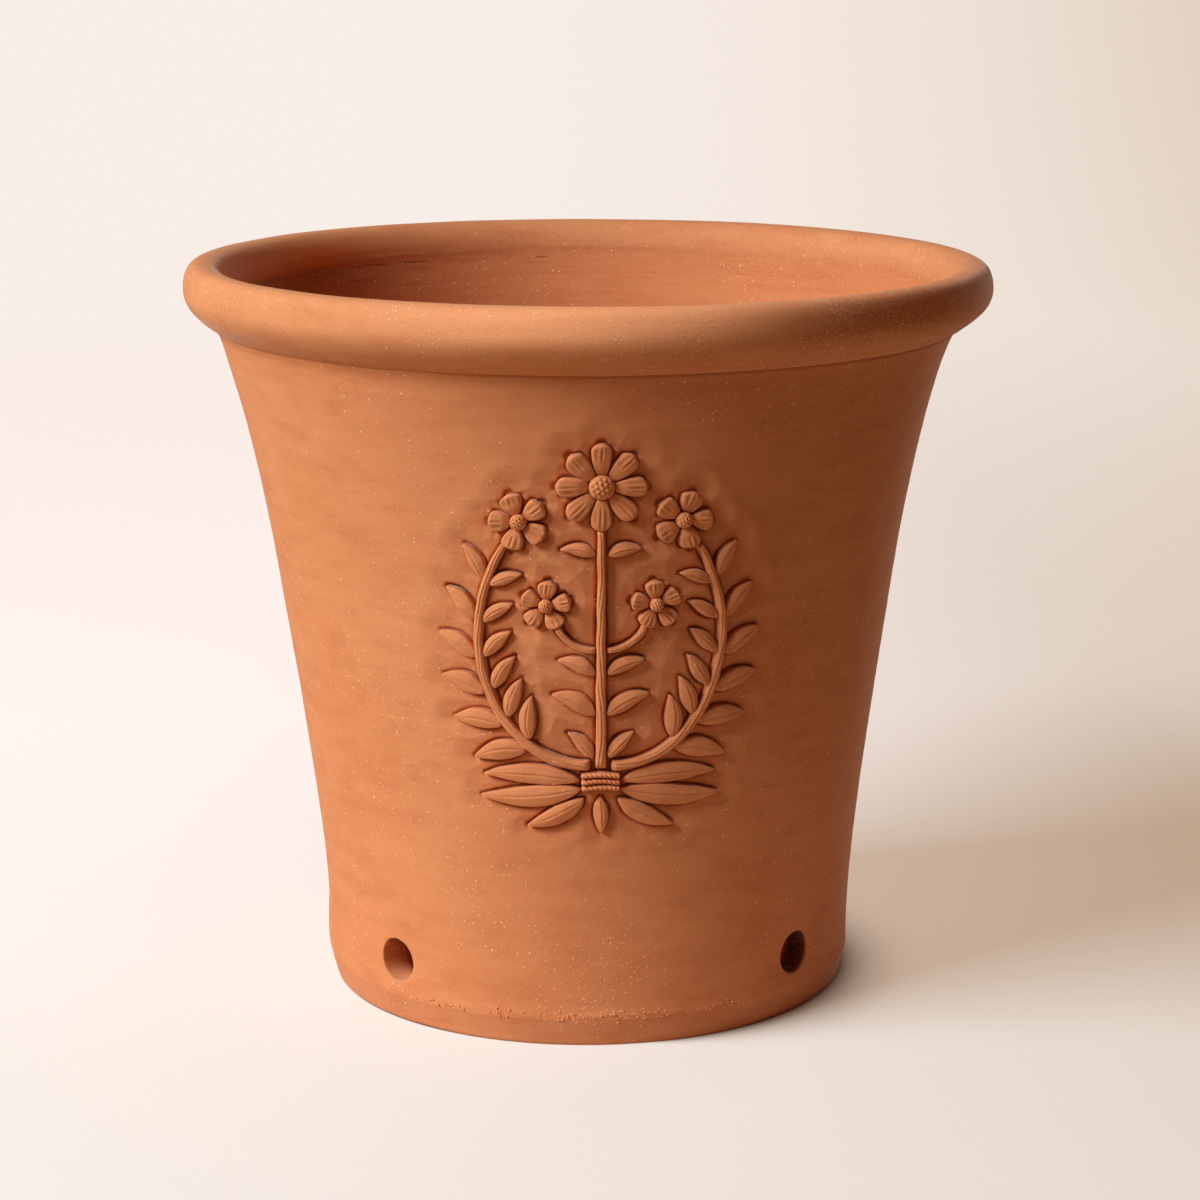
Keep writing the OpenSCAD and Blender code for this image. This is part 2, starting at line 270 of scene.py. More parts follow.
# %% The flat drawing of the spray
EDGE_H = 1.2
BUD_GAP = 0.5
STEM_W = 5
STEM_TIP_W = 3.4
STEM_H = 3.2
TWIG_W = 2.8
TWIG_H = 2.6
STEM_Y = 34
TOP_Y = 171
TWIG_Y = 92
LEAF_RATIO = 0.39
LEAF_H = 3.3
LEAF_COUNT = 6
LEAF_BEND = 16
LEAF_RINGS = 30
CENTRE_LEN = 22
FAN_LEN = 48
TOP_R = 20.5
TIP_R = 13.5
TWIG_R = 11.5
BOSS_RATIO = 0.29
PETAL_H = 3.8
PETAL_RINGS = 22
BOSS_RISE = 1.4
PETAL_FILL = 0.86
BAND_W = 17
TURN_W = 2.6
BAND_H = 4.4
BAND_Y = 26.5
BAND_BOW = 2
TOP_PETALS = 8
SMALL_PETALS = 5
TOP_TURN = 90
TIP_TURN = 70
TWIG_TURN = 96
OUTER_LEAVES = {"length": 26, "step": 1.5, "start": 0.25, "end": 0.89, "spread": 32, "turn": -1}
INNER_LEAVES = {"length": 21, "step": 1.1, "start": 0.27, "end": 0.88, "spread": 36, "turn": 1}
SIDES = {"left": -1, "right": 1}
STEM_END = TOP_Y - TOP_R - BUD_GAP
CENTRE_PATH = [[0, STEM_Y], [0, (STEM_Y + STEM_END) / 2], [0, STEM_END]]
BRANCH_PATH = [[STEM_W + BUD_GAP, STEM_Y + 1], [46, STEM_Y], [75, 92], [45, 142]]
TWIG_PATH = [[STEM_W / 2 + BUD_GAP, TWIG_Y], [15, TWIG_Y + 1.1], [20, TWIG_Y + 11]]


def mix(a, b, t):
    return a + (b - a) * t


def polar(length, angle):
    return length * np.array([math.cos(math.radians(angle)), math.sin(math.radians(angle))])


def heading(path, t):
    """Unit direction along a path."""
    way = bernstein(np.diff(np.asarray(path, float), axis=0), t)
    return way / np.linalg.norm(way, axis=-1, keepdims=True)


class Sprig:
    """One pressed piece of clay: a path, and its half width and height along the path."""

    def __init__(self, kind, path, half, crown, rings):
        self.kind = kind
        self.path = np.asarray(path, float)
        self.t = np.linspace(0, 1, rings)
        self.half = half(self.t)
        self.crown = crown(self.t)
        self.line = bernstein(self.path, self.t)

    def outline(self):
        """Middle line and half width at closer steps, for measuring distances."""
        t = np.linspace(0, 1, 3 * len(self.t))
        return bernstein(self.path, t), np.interp(t, self.t, self.half)


def stem(path, w0, w1, high, rings, kind="stem"):
    return Sprig(kind, path, lambda t: mix(w0, w1, t) / 2, lambda t: high + 0 * t, rings)


def leaf(base, angle, length, bent, side, wide=LEAF_RATIO):
    path = np.array([base, base + polar(length / 2, angle), base + polar(length, angle + bent)])

    def swell(t):
        return np.maximum(np.sin(np.pi * t**0.85), 0) ** 0.8

    return Sprig(
        "leaf",
        path * [side, 1],
        lambda t: np.maximum(length * wide / 2 * swell(t), 0.3),
        lambda t: mix(EDGE_H, LEAF_H, 0.3 + 0.7 * swell(t)),
        LEAF_RINGS,
    )


def petal(centre, angle, r0, r1, width):
    def tip(t):
        return np.sqrt(np.maximum(1 - np.maximum((t - 0.75) / 0.27, 0) ** 2, 0))

    return Sprig(
        "petal",
        [centre + polar(r0, angle), centre + polar(r1, angle)],
        lambda t: width / 2 * (0.42 + 0.58 * np.sin(np.radians(9 + 112 * t))) * tip(t),
        lambda t: mix(EDGE_H, PETAL_H, (0.45 + 0.55 * t) * mix(0.6, 1, tip(t))),
        PETAL_RINGS,
    )


def flower(centre, radius, count, turn):
    r0 = radius * BOSS_RATIO + BUD_GAP
    width = PETAL_FILL * 2 * math.pi / count * mix(r0, radius, 0.55)
    return [petal(centre, turn + 360 * i / count, r0, radius, width) for i in range(count)]


def flower_at(path, radius):
    end = np.asarray(path[-1], float)
    return end + heading(path, 1.0) * (radius + BUD_GAP)


def branch_leaves(side, length, step, start, end, spread, turn):
    """Leaves along one side of a branch, shorter by a step each, from start to end of the path."""
    sprigs = []
    for i in range(LEAF_COUNT):
        t = mix(start, end, i / (LEAF_COUNT - 1))
        way = heading(BRANCH_PATH, t)
        grow = math.degrees(math.atan2(way[1], way[0]))
        out = mix(STEM_W, STEM_TIP_W, t) / 2 + BUD_GAP
        base = bernstein(BRANCH_PATH, t) + polar(out, grow + 90 * turn)
        sprigs.append(leaf(base, grow + spread * turn, length - step * i, LEAF_BEND * turn, side))
    return sprigs


def both_sides(sprigs_of):
    return [sprig for side in SIDES.values() for sprig in sprigs_of(side)]


def centre_leaves(side):
    """Leaves up the stem, from their place along it, their angle and their share of the length."""
    sprigs = []
    for up, angle, share in ((0.224, 50, 1), (0.397, 46, 0.84), (0.897, 34, 0.72)):
        base = np.array([STEM_W / 2 + BUD_GAP, mix(STEM_Y, STEM_END, up)])
        sprigs.append(leaf(base, angle, CENTRE_LEN * share, -22, side))
    return sprigs


def fan_leaves(side):
    """Leaves beside the band: how far out and up, their angle, length, bend and width."""
    fan = [
        (0.547, 0.38, 12, 0.95, -10, 0.56),
        (0.518, -1.35, -14, 1, 8, 0.58),
        (0.441, -3.27, -40, 0.62, 12, 0.8),
    ]
    upright = np.array([STEM_W * 0.66 + BUD_GAP, STEM_Y + STEM_W])
    sprigs = [leaf(upright, 66, FAN_LEN * 0.35, -20, side)]
    for out, up, angle, share, bent, wide in fan:
        base = np.array([BAND_W * out + BUD_GAP, BAND_Y + TURN_W * up])
        sprigs.append(leaf(base, angle, FAN_LEN * share, bent, side, LEAF_RATIO * wide))
    return sprigs


def band_turn(k):
    y = BAND_Y + k * (TURN_W + BUD_GAP)
    path = [[-BAND_W / 2, y], [0, y + BAND_BOW], [BAND_W / 2, y]]
    return stem(path, TURN_W, TURN_W, BAND_H, rings=50, kind="cord")


def draw_spray():
    """Every sprig of the spray, by the node it belongs to, and the flowers' middles."""
    hanging = leaf(np.array([0, BAND_Y - TURN_W * 2.9]), -90, FAN_LEN * 0.38, 0, 1)
    spray = {
        "centre_stem": [stem(CENTRE_PATH, STEM_W, STEM_TIP_W, STEM_H, rings=60)],
        "centre_leaves": both_sides(centre_leaves),
        "fan_leaves": [*both_sides(fan_leaves), hanging],
        "tie_band": [band_turn(k) for k in (-1, 0, 1)],
        "top_petals": flower(np.array([0, TOP_Y]), TOP_R, TOP_PETALS, TOP_TURN),
    }
    bosses = {"top_boss": (np.array([0, TOP_Y]), TOP_R * BOSS_RATIO)}
    for name, side in SIDES.items():
        flip = np.array([side, 1])
        branch, twig = np.array(BRANCH_PATH) * flip, np.array(TWIG_PATH) * flip
        spray[f"branch_{name}"] = [stem(branch, STEM_W, STEM_TIP_W, STEM_H, rings=90)]
        spray[f"twig_{name}"] = [stem(twig, TWIG_W, TWIG_W, TWIG_H, rings=30)]
        spray[f"outer_leaves_{name}"] = branch_leaves(side, **OUTER_LEAVES)
        spray[f"inner_leaves_{name}"] = branch_leaves(side, **INNER_LEAVES)
        small = (("tip", BRANCH_PATH, TIP_R, TIP_TURN), ("twig", TWIG_PATH, TWIG_R, TWIG_TURN))
        for part, path, radius, turn in small:
            centre = flower_at(path, radius) * flip
            turn = turn if side > 0 else 180 - turn
            spray[f"{part}_petals_{name}"] = flower(centre, radius, SMALL_PETALS, turn)
            bosses[f"{part}_boss_{name}"] = (centre, radius * BOSS_RATIO)
    return spray, bosses


SPRAY, BOSSES = draw_spray()
print("sprigs:", sum(len(s) for s in SPRAY.values()) + len(BOSSES))

# %% [markdown]
# Where a sprig is pressed on, the wet wall gives: the ground sinks a little, a tool runs a groove
# round each outline, and the clay that is pushed aside swells up softly round the whole spray. All
# three follow from one measure, the distance from a place on the wall to the nearest outline, so
# that distance is worked out for the wall's points. Boolean cuts could make the groove, but they
# would leave hard edges that fired clay doesn't have.

# %% Distance to the nearest outline, and how the wall gives there
REACH = 24
GROOVE_DEPTH = 1.5
GROOVE_W = 1.0
BASIN_DEPTH = 0.9
BASIN_W = 6.5
SWELL_H = 0.35
SWELL_OFF = 11
SWELL_W = 4.5
WORKED_W = 9


def outline_distance(x, y):
    """Distance from flat places to the nearest outline of the spray, negative inside one."""
    places = np.stack([x, y], -1)
    nearest = np.full(len(places), float(REACH))
    lines = [s.outline() for sprigs in SPRAY.values() for s in sprigs]
    lines += [(centre[None], np.array([radius])) for centre, radius in BOSSES.values()]
    for line, half in lines:
        low, high = line.min(0) - REACH, line.max(0) + REACH
        near = np.flatnonzero(((places > low) & (places < high)).all(1))
        if len(near):
            gap = np.linalg.norm(places[near, None] - line[None], axis=-1)
            closest = gap.argmin(1)
            far = gap[np.arange(len(near)), closest] - half[closest]
            nearest[near] = np.minimum(nearest[near], far)
    return nearest


def pressed_ground(turn, z):
    """How far the wall's face moves near the spray, and the painted shade on each point round it."""
    flat = np.stack([np.radians(turn) * wall_r(z), z - RELIEF_Z, 0 * z], -1)
    away = outline_distance(flat[:, 0], flat[:, 1]) + 0.3 * clay_noise(flat, 5, 31)
    outside = np.maximum(away, 0)
    groove = GROOVE_DEPTH * hill(outside, 0, GROOVE_W) * (1 + 0.5 * clay_noise(flat, 9, 32))
    basin = BASIN_DEPTH * hill(outside, 0, BASIN_W)
    swell = SWELL_H * hill(away, SWELL_OFF, SWELL_W) * (1 + 0.8 * clay_noise(flat, 26, 33))
    dents = clay_layers(flat, 34, (0.24, 7), (0.1, 2.6)) * hill(outside, 0, WORKED_W)
    # The second value is painted shade, darkest in the groove round each outline.
    return swell - groove - basin + dents, np.clip(0.9 * groove + 0.45 * basin, 0, 1.15)


inside = float(outline_distance(np.zeros(1), np.full(1, float(TOP_Y)))[0])
print("the top flower's middle lies", round(-inside, 2), "mm inside an outline")

# %% [markdown]
# The wall is a grid of points, fine where the spray lies and coarser elsewhere. Its four drain holes
# could be cut with boolean modifiers, but their edges would shade badly. So each hole gets a patch:
# twelve by twelve cells are left out of the grid, and rings of points lead from the square gap to the
# round edge, over it, through the wall, and out to the same gap in the inner face. At the foot the
# wall laps over the slab by half a millimetre, as smeared clay does: a butt joint would show as a hard
# dark line. Painted shade darkens the inner face, most inside the mouth at the back on the left, and
# the drain holes: the one on the front right all along, the others deeper in and in their upper half,
# while their lower half is painted light.

# %% The wall
HOLE_R = 10.5
HOLE_Z = 32
HOLE_TURNS = (-137, -47, 47, 137)
HOLE_CELLS = 12
HOLE_REACH = 15
HOLE_STEP = 2 * HOLE_REACH / HOLE_CELLS
HOLE_TURN_REACH = math.degrees(HOLE_REACH / FOOT_R)
HOLE_EDGE = [(0.6, 0), (0.45, 0.1), (0.3, 0.5)]
HOLE_APRON = (0.35, 0.7)
HOLE_DEPTHS = (0.1, 0.25, 0.45, 0.7)
HOLE_SIDE = range(HOLE_CELLS)
HOLE_WALK = [(0, i) for i in HOLE_SIDE] + [(i, HOLE_CELLS) for i in HOLE_SIDE]
HOLE_WALK += [(HOLE_CELLS - i, HOLE_CELLS - j) for i, j in HOLE_WALK]
WALK_FROM = -135
SHADED_HOLE = HOLE_TURNS[2]
HOLE_TOP_SHADE = 1.7
HOLE_BOTTOM_LIGHT = 1.1
NO_GRIT_OVER = 1.5
OUTER_SEED = 11
RIDGE_BEAD = 0.4
RIDGE_DIP = 0.3
RIDGE_FRONT = (12, 48)
CREASE_SHADE = 0.5
INSIDE_SHADE = 0.58
LAP = 0.6
LEFT_INSIDE_SHADE = 0.55
LEFT_INSIDE_SHADE_PLACE = (-122, 34)
SHADED_NECK = (22, 26, NECK_Z, 40)
GRITTY_FRONT = (12, 32, 36, 26)
SPRAY_TURN = 33
SPRAY_ROWS = (100, 306)
FINE_TURN = 0.19
FINE_ROW = 0.49
COARSE_TURN = 2


def spaced(stops):
    """Values from the first stop to the last, with the step that each stop gives up to the next."""
    values = [stops[0][0]]
    for (start, step), (end, _) in zip(stops, stops[1:]):
        count = max(1, round(abs(end - start) / step))
        values += [start + (end - start) * (i + 1) / count for i in range(count)]
    return np.array(values)


def wall_turns():
    """Angles of the wall's columns: fine across the spray, and in step with each hole's patch."""
    step = 2 * HOLE_TURN_REACH / HOLE_CELLS
    patches = [[(at - HOLE_TURN_REACH, step), (at + HOLE_TURN_REACH, COARSE_TURN)] for at in HOLE_TURNS]
    spray = [(-SPRAY_TURN, FINE_TURN), (SPRAY_TURN, COARSE_TURN / 2)]
    stops = sum([*patches[:2], spray, *patches[2:]], [(-180, COARSE_TURN)])
    return spaced([*stops, (180, 0)])[:-1]


def outer_face(turn, z):
    """Points of the wall's outer face, and the painted shade on each point.

    The shade lies round the spray, in the crease under the rim, and on the right below the neck.
    """
    r = wall_r(z)
    points = round_pot(turn, r, z)
    pressed, painted_shading = pressed_ground(turn, z)
    plain = mix(0.15, 1, hill(turn, *RIDGE_FRONT))
    bead = RIDGE_BEAD * hill(z, FOOT_H + 2.3, 1.5) * (0.8 + 0.7 * clay_noise(points, 9, 41))
    dip = RIDGE_DIP * hill(z, FOOT_H + 7, 3.5) * (1 + 0.5 * clay_noise(points, 30, 42))
    fillet = np.exp(-(NECK_Z - z) / 1.8)
    # Painted shade in the crease under the rim.
    crease_shade = CREASE_SHADE * np.exp(-(NECK_Z - z) / 4)
    shaded = 0.4 * marked(turn, z, *SHADED_NECK)
    buried = 0.3 * np.clip((FOOT_H - z) / LAP, 0, 1)
    r = r + thrown(points, OUTER_SEED) + sagged(points) + pressed + plain * (bead - dip) + fillet - buried
    return round_pot(turn, r, z), np.maximum(painted_shading, np.maximum(crease_shade, shaded))


def painted_left_inside_shade(turn):
    """Painted shade inside the mouth, at the back on the left, where the lamp doesn't reach."""
    return LEFT_INSIDE_SHADE * hill(turn, *LEFT_INSIDE_SHADE_PLACE)


def inner_face(turn, z):
    r = inner_r(z)
    points = round_pot(turn, r, z)
    below = np.maximum(SEAM_Z - z, 0)
    r = r + thrown(points, 21, 0.4, 0.16) * np.clip(below / 6, 0, 1)
    # Painted shade on the whole inner face, more just below the seam and at the back on the left.
    return round_pot(turn, r, z), INSIDE_SHADE + 0.15 * hill(below, 0, 10) + painted_left_inside_shade(turn)


def wall_grit(points):
    """Share of grit that shows on the wall: most along the ridge and low on the front."""
    turn, z = turn_of(points), points[:, 2]
    ridge = 0.8 * hill(z, FOOT_H + 3, 5)
    clouds = np.clip(0.5 + 1.2 * clay_noise(points, 55, 43), 0, 1)
    return np.clip((marked(turn, z, *GRITTY_FRONT) + ridge + 0.22) * clouds, 0, 1)


def hole_ring(turn, radius, face, sink):
    """A ring round a hole, in step with its square: on one face of the wall, sunk along the hole."""
    around = np.radians(WALK_FROM + 360 * np.arange(len(HOLE_WALK)) / len(HOLE_WALK))
    radius = radius + 0.07 * np.sin(5 * around + turn) + 0.06 * np.sin(11 * around - turn)
    z = HOLE_Z + radius * np.sin(around)
    r, inward = (wall_r(z), -1) if face is outer_face else (inner_r(z), 1)
    points, painted_shading = face(turn + np.degrees(np.arcsin(radius * np.cos(around) / r)), z)
    way = round_pot(np.array([float(turn)]), 1.0, 0.0)[0]
    return points + way * inward * sink, painted_shading


def hole_rings(turn, gate_out, gate_in):
    """Rings of points from the gap in the outer face, through a drain hole, to the inner face."""
    rings = []
    for face, gate, order in ((outer_face, gate_out, 1), (inner_face, gate_in, -1)):
        edge = [hole_ring(turn, HOLE_R + grow, face, sink) for grow, sink in HOLE_EDGE]
        apron = [(mix(gate, edge[0][0], share), edge[0][1]) for share in HOLE_APRON]
        rings += (apron + edge)[::order]
    half = len(rings) // 2
    outside, inside = rings[half - 1][0], rings[half][0]
    above = (outside[:, 2] - HOLE_Z) / HOLE_R
    # Painted shade in the tunnels: more deeper in and in the upper half, and all along the hole on the front
    # right; the lower half of the others is painted light.
    tunnel_shade = HOLE_TOP_SHADE if turn == SHADED_HOLE else np.where(above > 0, HOLE_TOP_SHADE, HOLE_BOTTOM_LIGHT) * above
    tunnel = [(mix(outside, inside, share), tunnel_shade + share + 0 * above) for share in HOLE_DEPTHS]
    return rings[:half] + tunnel + rings[half:]


def build_wall():
    turns = wall_turns()
    low = HOLE_Z - HOLE_REACH
    high = HOLE_Z + HOLE_REACH
    spray_low, spray_high = SPRAY_ROWS
    outer_z = spaced([(FOOT_H - LAP, 0.3), (FOOT_H, 0.5), (low, HOLE_STEP), (high, 3),
                      (spray_low, FINE_ROW), (spray_high, 2), (NECK_Z, 0)])
    inner_z = spaced([(SEAM_Z - 0.05, 0.1), (SEAM_Z - 0.15, 1.2), (SEAM_Z - 8, 6), (high, HOLE_STEP),
                      (low, 1.2), (FOOT_H, 0)])
    placed = []
    for face, heights in ((outer_face, outer_z), (inner_face, inner_z)):
        placed.append(face(np.tile(turns, len(heights)), np.repeat(heights, len(turns))))
    grid = np.concatenate([points for points, _ in placed])
    rows, columns = len(outer_z) + len(inner_z), len(turns)
    index = np.arange(rows * columns).reshape(rows, columns)
    cut = np.zeros((rows, columns), bool)
    row_out = int(np.argmin(abs(outer_z - low)))
    row_in = len(outer_z) + int(np.argmin(abs(inner_z - low)))
    faces = []
    count = len(grid)
    size = len(HOLE_WALK)
    for hole in HOLE_TURNS:
        left = int(np.argmin(abs(turns - (hole - HOLE_TURN_REACH))))
        for row in (row_out, row_in - HOLE_CELLS):
            cut[row:row + HOLE_CELLS, left:left + HOLE_CELLS] = True
        loop_out = [index[row_out + i, left + j] for i, j in HOLE_WALK]
        loop_in = [index[row_in - i, left + j] for i, j in HOLE_WALK]
        loops = [loop_out]
        for ring in hole_rings(hole, grid[loop_out], grid[loop_in]):
            loops.append(list(range(count, count + size)))
            placed.append(ring)
            count += size
        loops.append(loop_in)
        for a, b in zip(loops, loops[1:]):
            faces += np.stack([a, np.roll(a, -1), np.roll(b, -1), b], -1).tolist()
    faces += grid_quads(rows, columns, wrap=True, loop=True, cut=cut)
    points, painted_shading = (np.concatenate(values) for values in zip(*placed))
    grit = np.where(painted_shading > NO_GRIT_OVER, 0, wall_grit(points))
    return make_piece("thrown_wall", points, faces, "pot_wall", painted_shading, grit)


wall = build_wall()

# %% [markdown]
# The rim and the base slab are turned too. Their outline is a closed loop of points: curves where
# the clay is rolled, short straight lines where it is joined. The loop is swept round the axis, and
# each point is pushed a little along the outline's normal, so that flat and upright parts get the
# same unevenness.

# %% Helper for turned rings


def bend(a, corner, b, count):
    """Rounded corner of an outline from a to b, without the point b itself."""
    return bernstein([a, corner, b], np.arange(count) / count)


def swept(outline, turns, uneven):
    """Points of a closed outline swept round the axis, pushed along its normal by uneven()."""
    outline = np.asarray(outline, float)
    ahead = np.roll(outline, -1, 0) - np.roll(outline, 1, 0)
    normal = np.stack([ahead[:, 1], -ahead[:, 0]], -1)
    normal /= np.linalg.norm(normal, axis=1, keepdims=True)
    run = np.cumsum(np.linalg.norm(np.diff(outline, axis=0, prepend=outline[:1]), axis=1))
    turn = np.tile(turns, len(outline))
    r, z, out, up, length = np.repeat(np.column_stack([outline, normal, run]), len(turns), axis=0).T
    push = uneven(round_pot(turn, r, z), turn, r, z, length)
    return round_pot(turn, r + push * out, z + push * up)


print("a rounded corner:", bend([0, 0], [1, 0], [1, 1], 3).round(2).tolist())

# %% [markdown]
# The rim was rolled from a thick coil. Outside it overhangs the wall with a soft crease, and inside
# its lower edge meets the wall in a seam that was only partly smoothed over: it shows as a hairline
# that opens into short dark dashes. The seam is real geometry here, a groove whose depth changes
# round the pot. The front of the crest is painted pale as painted light, and beside it, on the right,
# the skin is redder, partly its own tone and partly painted shade where the roll turns from the lamp.
# Painted shade also darkens the crease under the roll, more at the front, the inside just above the
# seam, and the inside at the back on the left, where a patch higher up is painted light.

# %% The rolled rim
RIM_COLUMNS = 480
TUCK = 0.4
SEAM_OPEN = 1.2
SEAM_TURN = -158
SEAM_REACH = 18
WIPED_LINE = 6
PAINTED_LIGHT_CREST = (2, 27, 358, 11)
SHADE_UNDER_CREST = (12, 24, NECK_Z, 14)
REDDER_SKIN_AND_SHADE = (38, 17, 354, 10)
PAINTED_LIGHT_INSIDE = (-133, 22, 357, 5)
GRITTY_RIM = (26, 34)
GRIT_FROM_Z = 343
GRIT_RUN = 8


def seam_gap(points):
    """How far the seam inside the mouth stands open, round the pot: most at the back, left."""
    off = (turn_of(points) - SEAM_TURN + 180) % 360 - 180
    share = mix(0.05, 1, hill(off, 0, SEAM_REACH))
    dashes = clay_layers(points, 51, (1, 9), (0.5, 3))
    return SEAM_OPEN * share * np.clip(dashes + 0.1, 0, 1)


def rim_grit(points):
    """Share of grit that shows on the rim: most high on the front, right of the middle."""
    clouds = np.clip(0.55 + 1.1 * clay_noise(points, 40, 53), 0, 1)
    high = mix(0.2, 1, np.clip((points[:, 2] - GRIT_FROM_Z) / GRIT_RUN, 0, 1))
    return np.clip((hill(turn_of(points), *GRITTY_RIM) + 0.16) * clouds * high, 0, 1)


def build_rim():
    seam_r = float(inner_r(SEAM_Z))
    seam = [seam_r, SEAM_Z]
    above_seam = [float(inner_r(SEAM_Z + 2)), SEAM_Z + 2]
    outline = np.concatenate([
        bend([WALL_CURVE[-1] - TUCK, NECK_Z - TUCK], [RIM_R, NECK_Z + ROLL_RISE], [RIM_R, ROLL_Z], 18),
        bend([RIM_R, ROLL_Z], [RIM_R, POT_H], [CREST_R, POT_H], 18),
        bend([CREST_R, POT_H], [MOUTH_R + LIP_EASE, POT_H], [MOUTH_R, MOUTH_Z], 22),
        bernstein([[MOUTH_R, MOUTH_Z], [MOUTH_R - 0.3, MOUTH_Z - 2], above_seam, seam], np.arange(9) / 9),
        [[seam_r, SEAM_Z + 0.1], seam, [seam_r + 0.2, SEAM_Z - 0.25], [seam_r + 3, SEAM_Z - 2]],
    ])

    def uneven(points, turn, r, z, length):
        flat = np.stack([points[:, 0] * 0.1, points[:, 1] * 0.1, length], -1)
        lumps = clay_layers(points, 61, (0.42, 110), (0.16, 30))
        rings = clay_layers(flat, 63, (0.1, 5), (0.05, 2))
        inside = (r < MOUTH_R + 1.5) & (z < MOUTH_Z)
        even = np.where(inside, 2 * np.clip((z - SEAM_Z) / 6, 0, 1), 1)
        rings = rings + 0.2 * hill(length, WIPED_LINE, 0.9) * (0.7 + clay_noise(points, 40, 65))
        opened = (r < MOUTH_R + 1) & (z < SEAM_Z + 0.2) & (z > SEAM_Z - 1)
        return (lumps + rings) * even - np.where(opened, seam_gap(round_pot(turn, RIM_R, 0)), 0)

    turns = np.arange(RIM_COLUMNS) * 360 / RIM_COLUMNS
    points = swept(outline, turns, uneven)
    faces = grid_quads(len(outline), RIM_COLUMNS, wrap=True, loop=True)
    # Painted shade in the crease under the roll, and on the inside just above the seam.
    crease_shade = 0.35 * np.exp(-np.maximum(outline[:, 1] - NECK_Z, 0) / 6)
    seam_shade = 0.7 * hill(np.maximum(outline[:, 1] - SEAM_Z, 0), 0, 7)
    painted_shading = np.repeat(np.where(outline[:, 0] > MOUTH_R + 4, crease_shade, seam_shade), RIM_COLUMNS)
    turn, z = turn_of(points), points[:, 2]
    inside = np.repeat(outline[:, 0] < MOUTH_R + 6, RIM_COLUMNS)
    outer = np.repeat(np.clip((outline[:, 0] - MOUTH_R + 1) / 7, 0, 1), RIM_COLUMNS)
    # Painted shade inside at the back on the left and under the roll at the front, redder skin on the right
    # that is partly painted shade, and painted light on the crest's front and higher up inside.
    back_left_shade = painted_left_inside_shade(turn) * hill(np.maximum(z - SEAM_Z, 0), 0, 6)
    redder_and_shade = 0.4 * marked(turn, z, *SHADE_UNDER_CREST) + 0.95 * marked(turn, z, *REDDER_SKIN_AND_SHADE)
    painted_shading = painted_shading + (redder_and_shade - 1.3 * marked(turn, z, *PAINTED_LIGHT_CREST)) * outer
    painted_shading = painted_shading + (back_left_shade - 0.6 * marked(turn, z, *PAINTED_LIGHT_INSIDE)) * inside
    return make_piece("rolled_rim", points, faces, "rim_ring", painted_shading, rim_grit(points))


rim = build_rim()

# %% [markdown]
# The base slab shows as a low band under the ridge, set in a little towards the ground. From above
# its top is the floor inside the pot, where a finger has left a slow spiral. Painted shade darkens
# that floor, the rest of the slab a little, and on the right the last millimetres above the ground,
# where the foot meets the floor.

# %% The base slab
SLAB_COLUMNS = 360
SPIRAL_DEPTH = 0.4
SPIRAL_RUN = 2.6
CONTACT_SHADE_H = 2.2


def build_slab():
    floor_r = inner_r(FOOT_H) + 4
    ground = [[r, 0] for r in (0.5, 20, 40, 60, 80, 100, 120, 126)]
    corner = bend([BASE_R - BASE_EDGE - 1, 0], [BASE_R, 0], [BASE_R + 0.3, BASE_EDGE + 1], 6)
    rise = np.linspace(0, 0.93, 13)
    band = np.stack([mix(BASE_R + 0.3, FOOT_R - 0.1, rise), mix(BASE_EDGE + 1, FOOT_H, rise)], -1)
    edge = [[FOOT_R - 0.04, FOOT_H - 0.15], [FOOT_R, FOOT_H]]
    tuck = [[FOOT_R - 0.15, FOOT_H + 0.5 * LAP], [FOOT_R - 0.3, FOOT_H + LAP], [FOOT_R - 3, FOOT_H + LAP]]
    top = [[r, FOOT_H] for r in [*np.arange(floor_r, 0.5, -1.5), 0.5]]
    outline = np.concatenate([ground, corner, band, edge, tuck, top])

    def uneven(points, turn, r, z, length):
        lumps = clay_layers(points, 71, (0.3, 90), (0.12, 16))
        band_lumps = lumps + 0.1 * clay_noise(points * [0.3, 0.3, 1], 4, 73)
        joined = np.clip((z - FOOT_H + 7) / 7, 0, 1) * (r > floor_r)
        band_lumps = mix(band_lumps, thrown(points, OUTER_SEED), joined) + sagged(points)
        reach = np.clip(r / 25, 0, 1) * np.clip((FOOT_R - 15 - r) / 8, 0, 1)
        spiral = SPIRAL_DEPTH * np.sin(r / SPIRAL_RUN - np.radians(turn)) * reach
        inside = (z > FOOT_H - 0.01) & (r < floor_r + 1)
        under = (z < 0.01) & (r < BASE_R - 3)
        return np.where(under, 0, np.where(inside, 0.5 * np.minimum(lumps, 0) + spiral - 0.4, band_lumps))

    turns = np.arange(SLAB_COLUMNS) * 360 / SLAB_COLUMNS
    points = swept(outline, turns, uneven)
    points[:, 2] = np.maximum(points[:, 2], 0)
    # Painted shade: on the floor inside, a little on the rest, and on the right where the foot meets the
    # floor.
    painted_shading = np.repeat(np.where(outline[:, 1] > FOOT_H - 0.01, 0.5, 0.1), SLAB_COLUMNS)
    contact_shade = np.clip(turn_of(points) / 40, 0, 1) * hill(points[:, 2], 0, CONTACT_SHADE_H)
    painted_shading = painted_shading + 1.1 * contact_shade
    faces = tube_faces(len(outline), SLAB_COLUMNS)
    return make_piece("foot_slab", points, faces, "base_slab", painted_shading, wall_grit(points))


slab = build_slab()

# %% [markdown]
# A sprig is a stack of rings along its path. Each ring goes over the face from edge to edge and down
# into the wall, deep enough to stay buried where the ground is pressed in. What tells a leaf from a
# petal or a cord is the relief of its face, so that is a function of its own: a vein and a soft
# fold on a leaf, tool strokes on a petal, a lay on a cord.

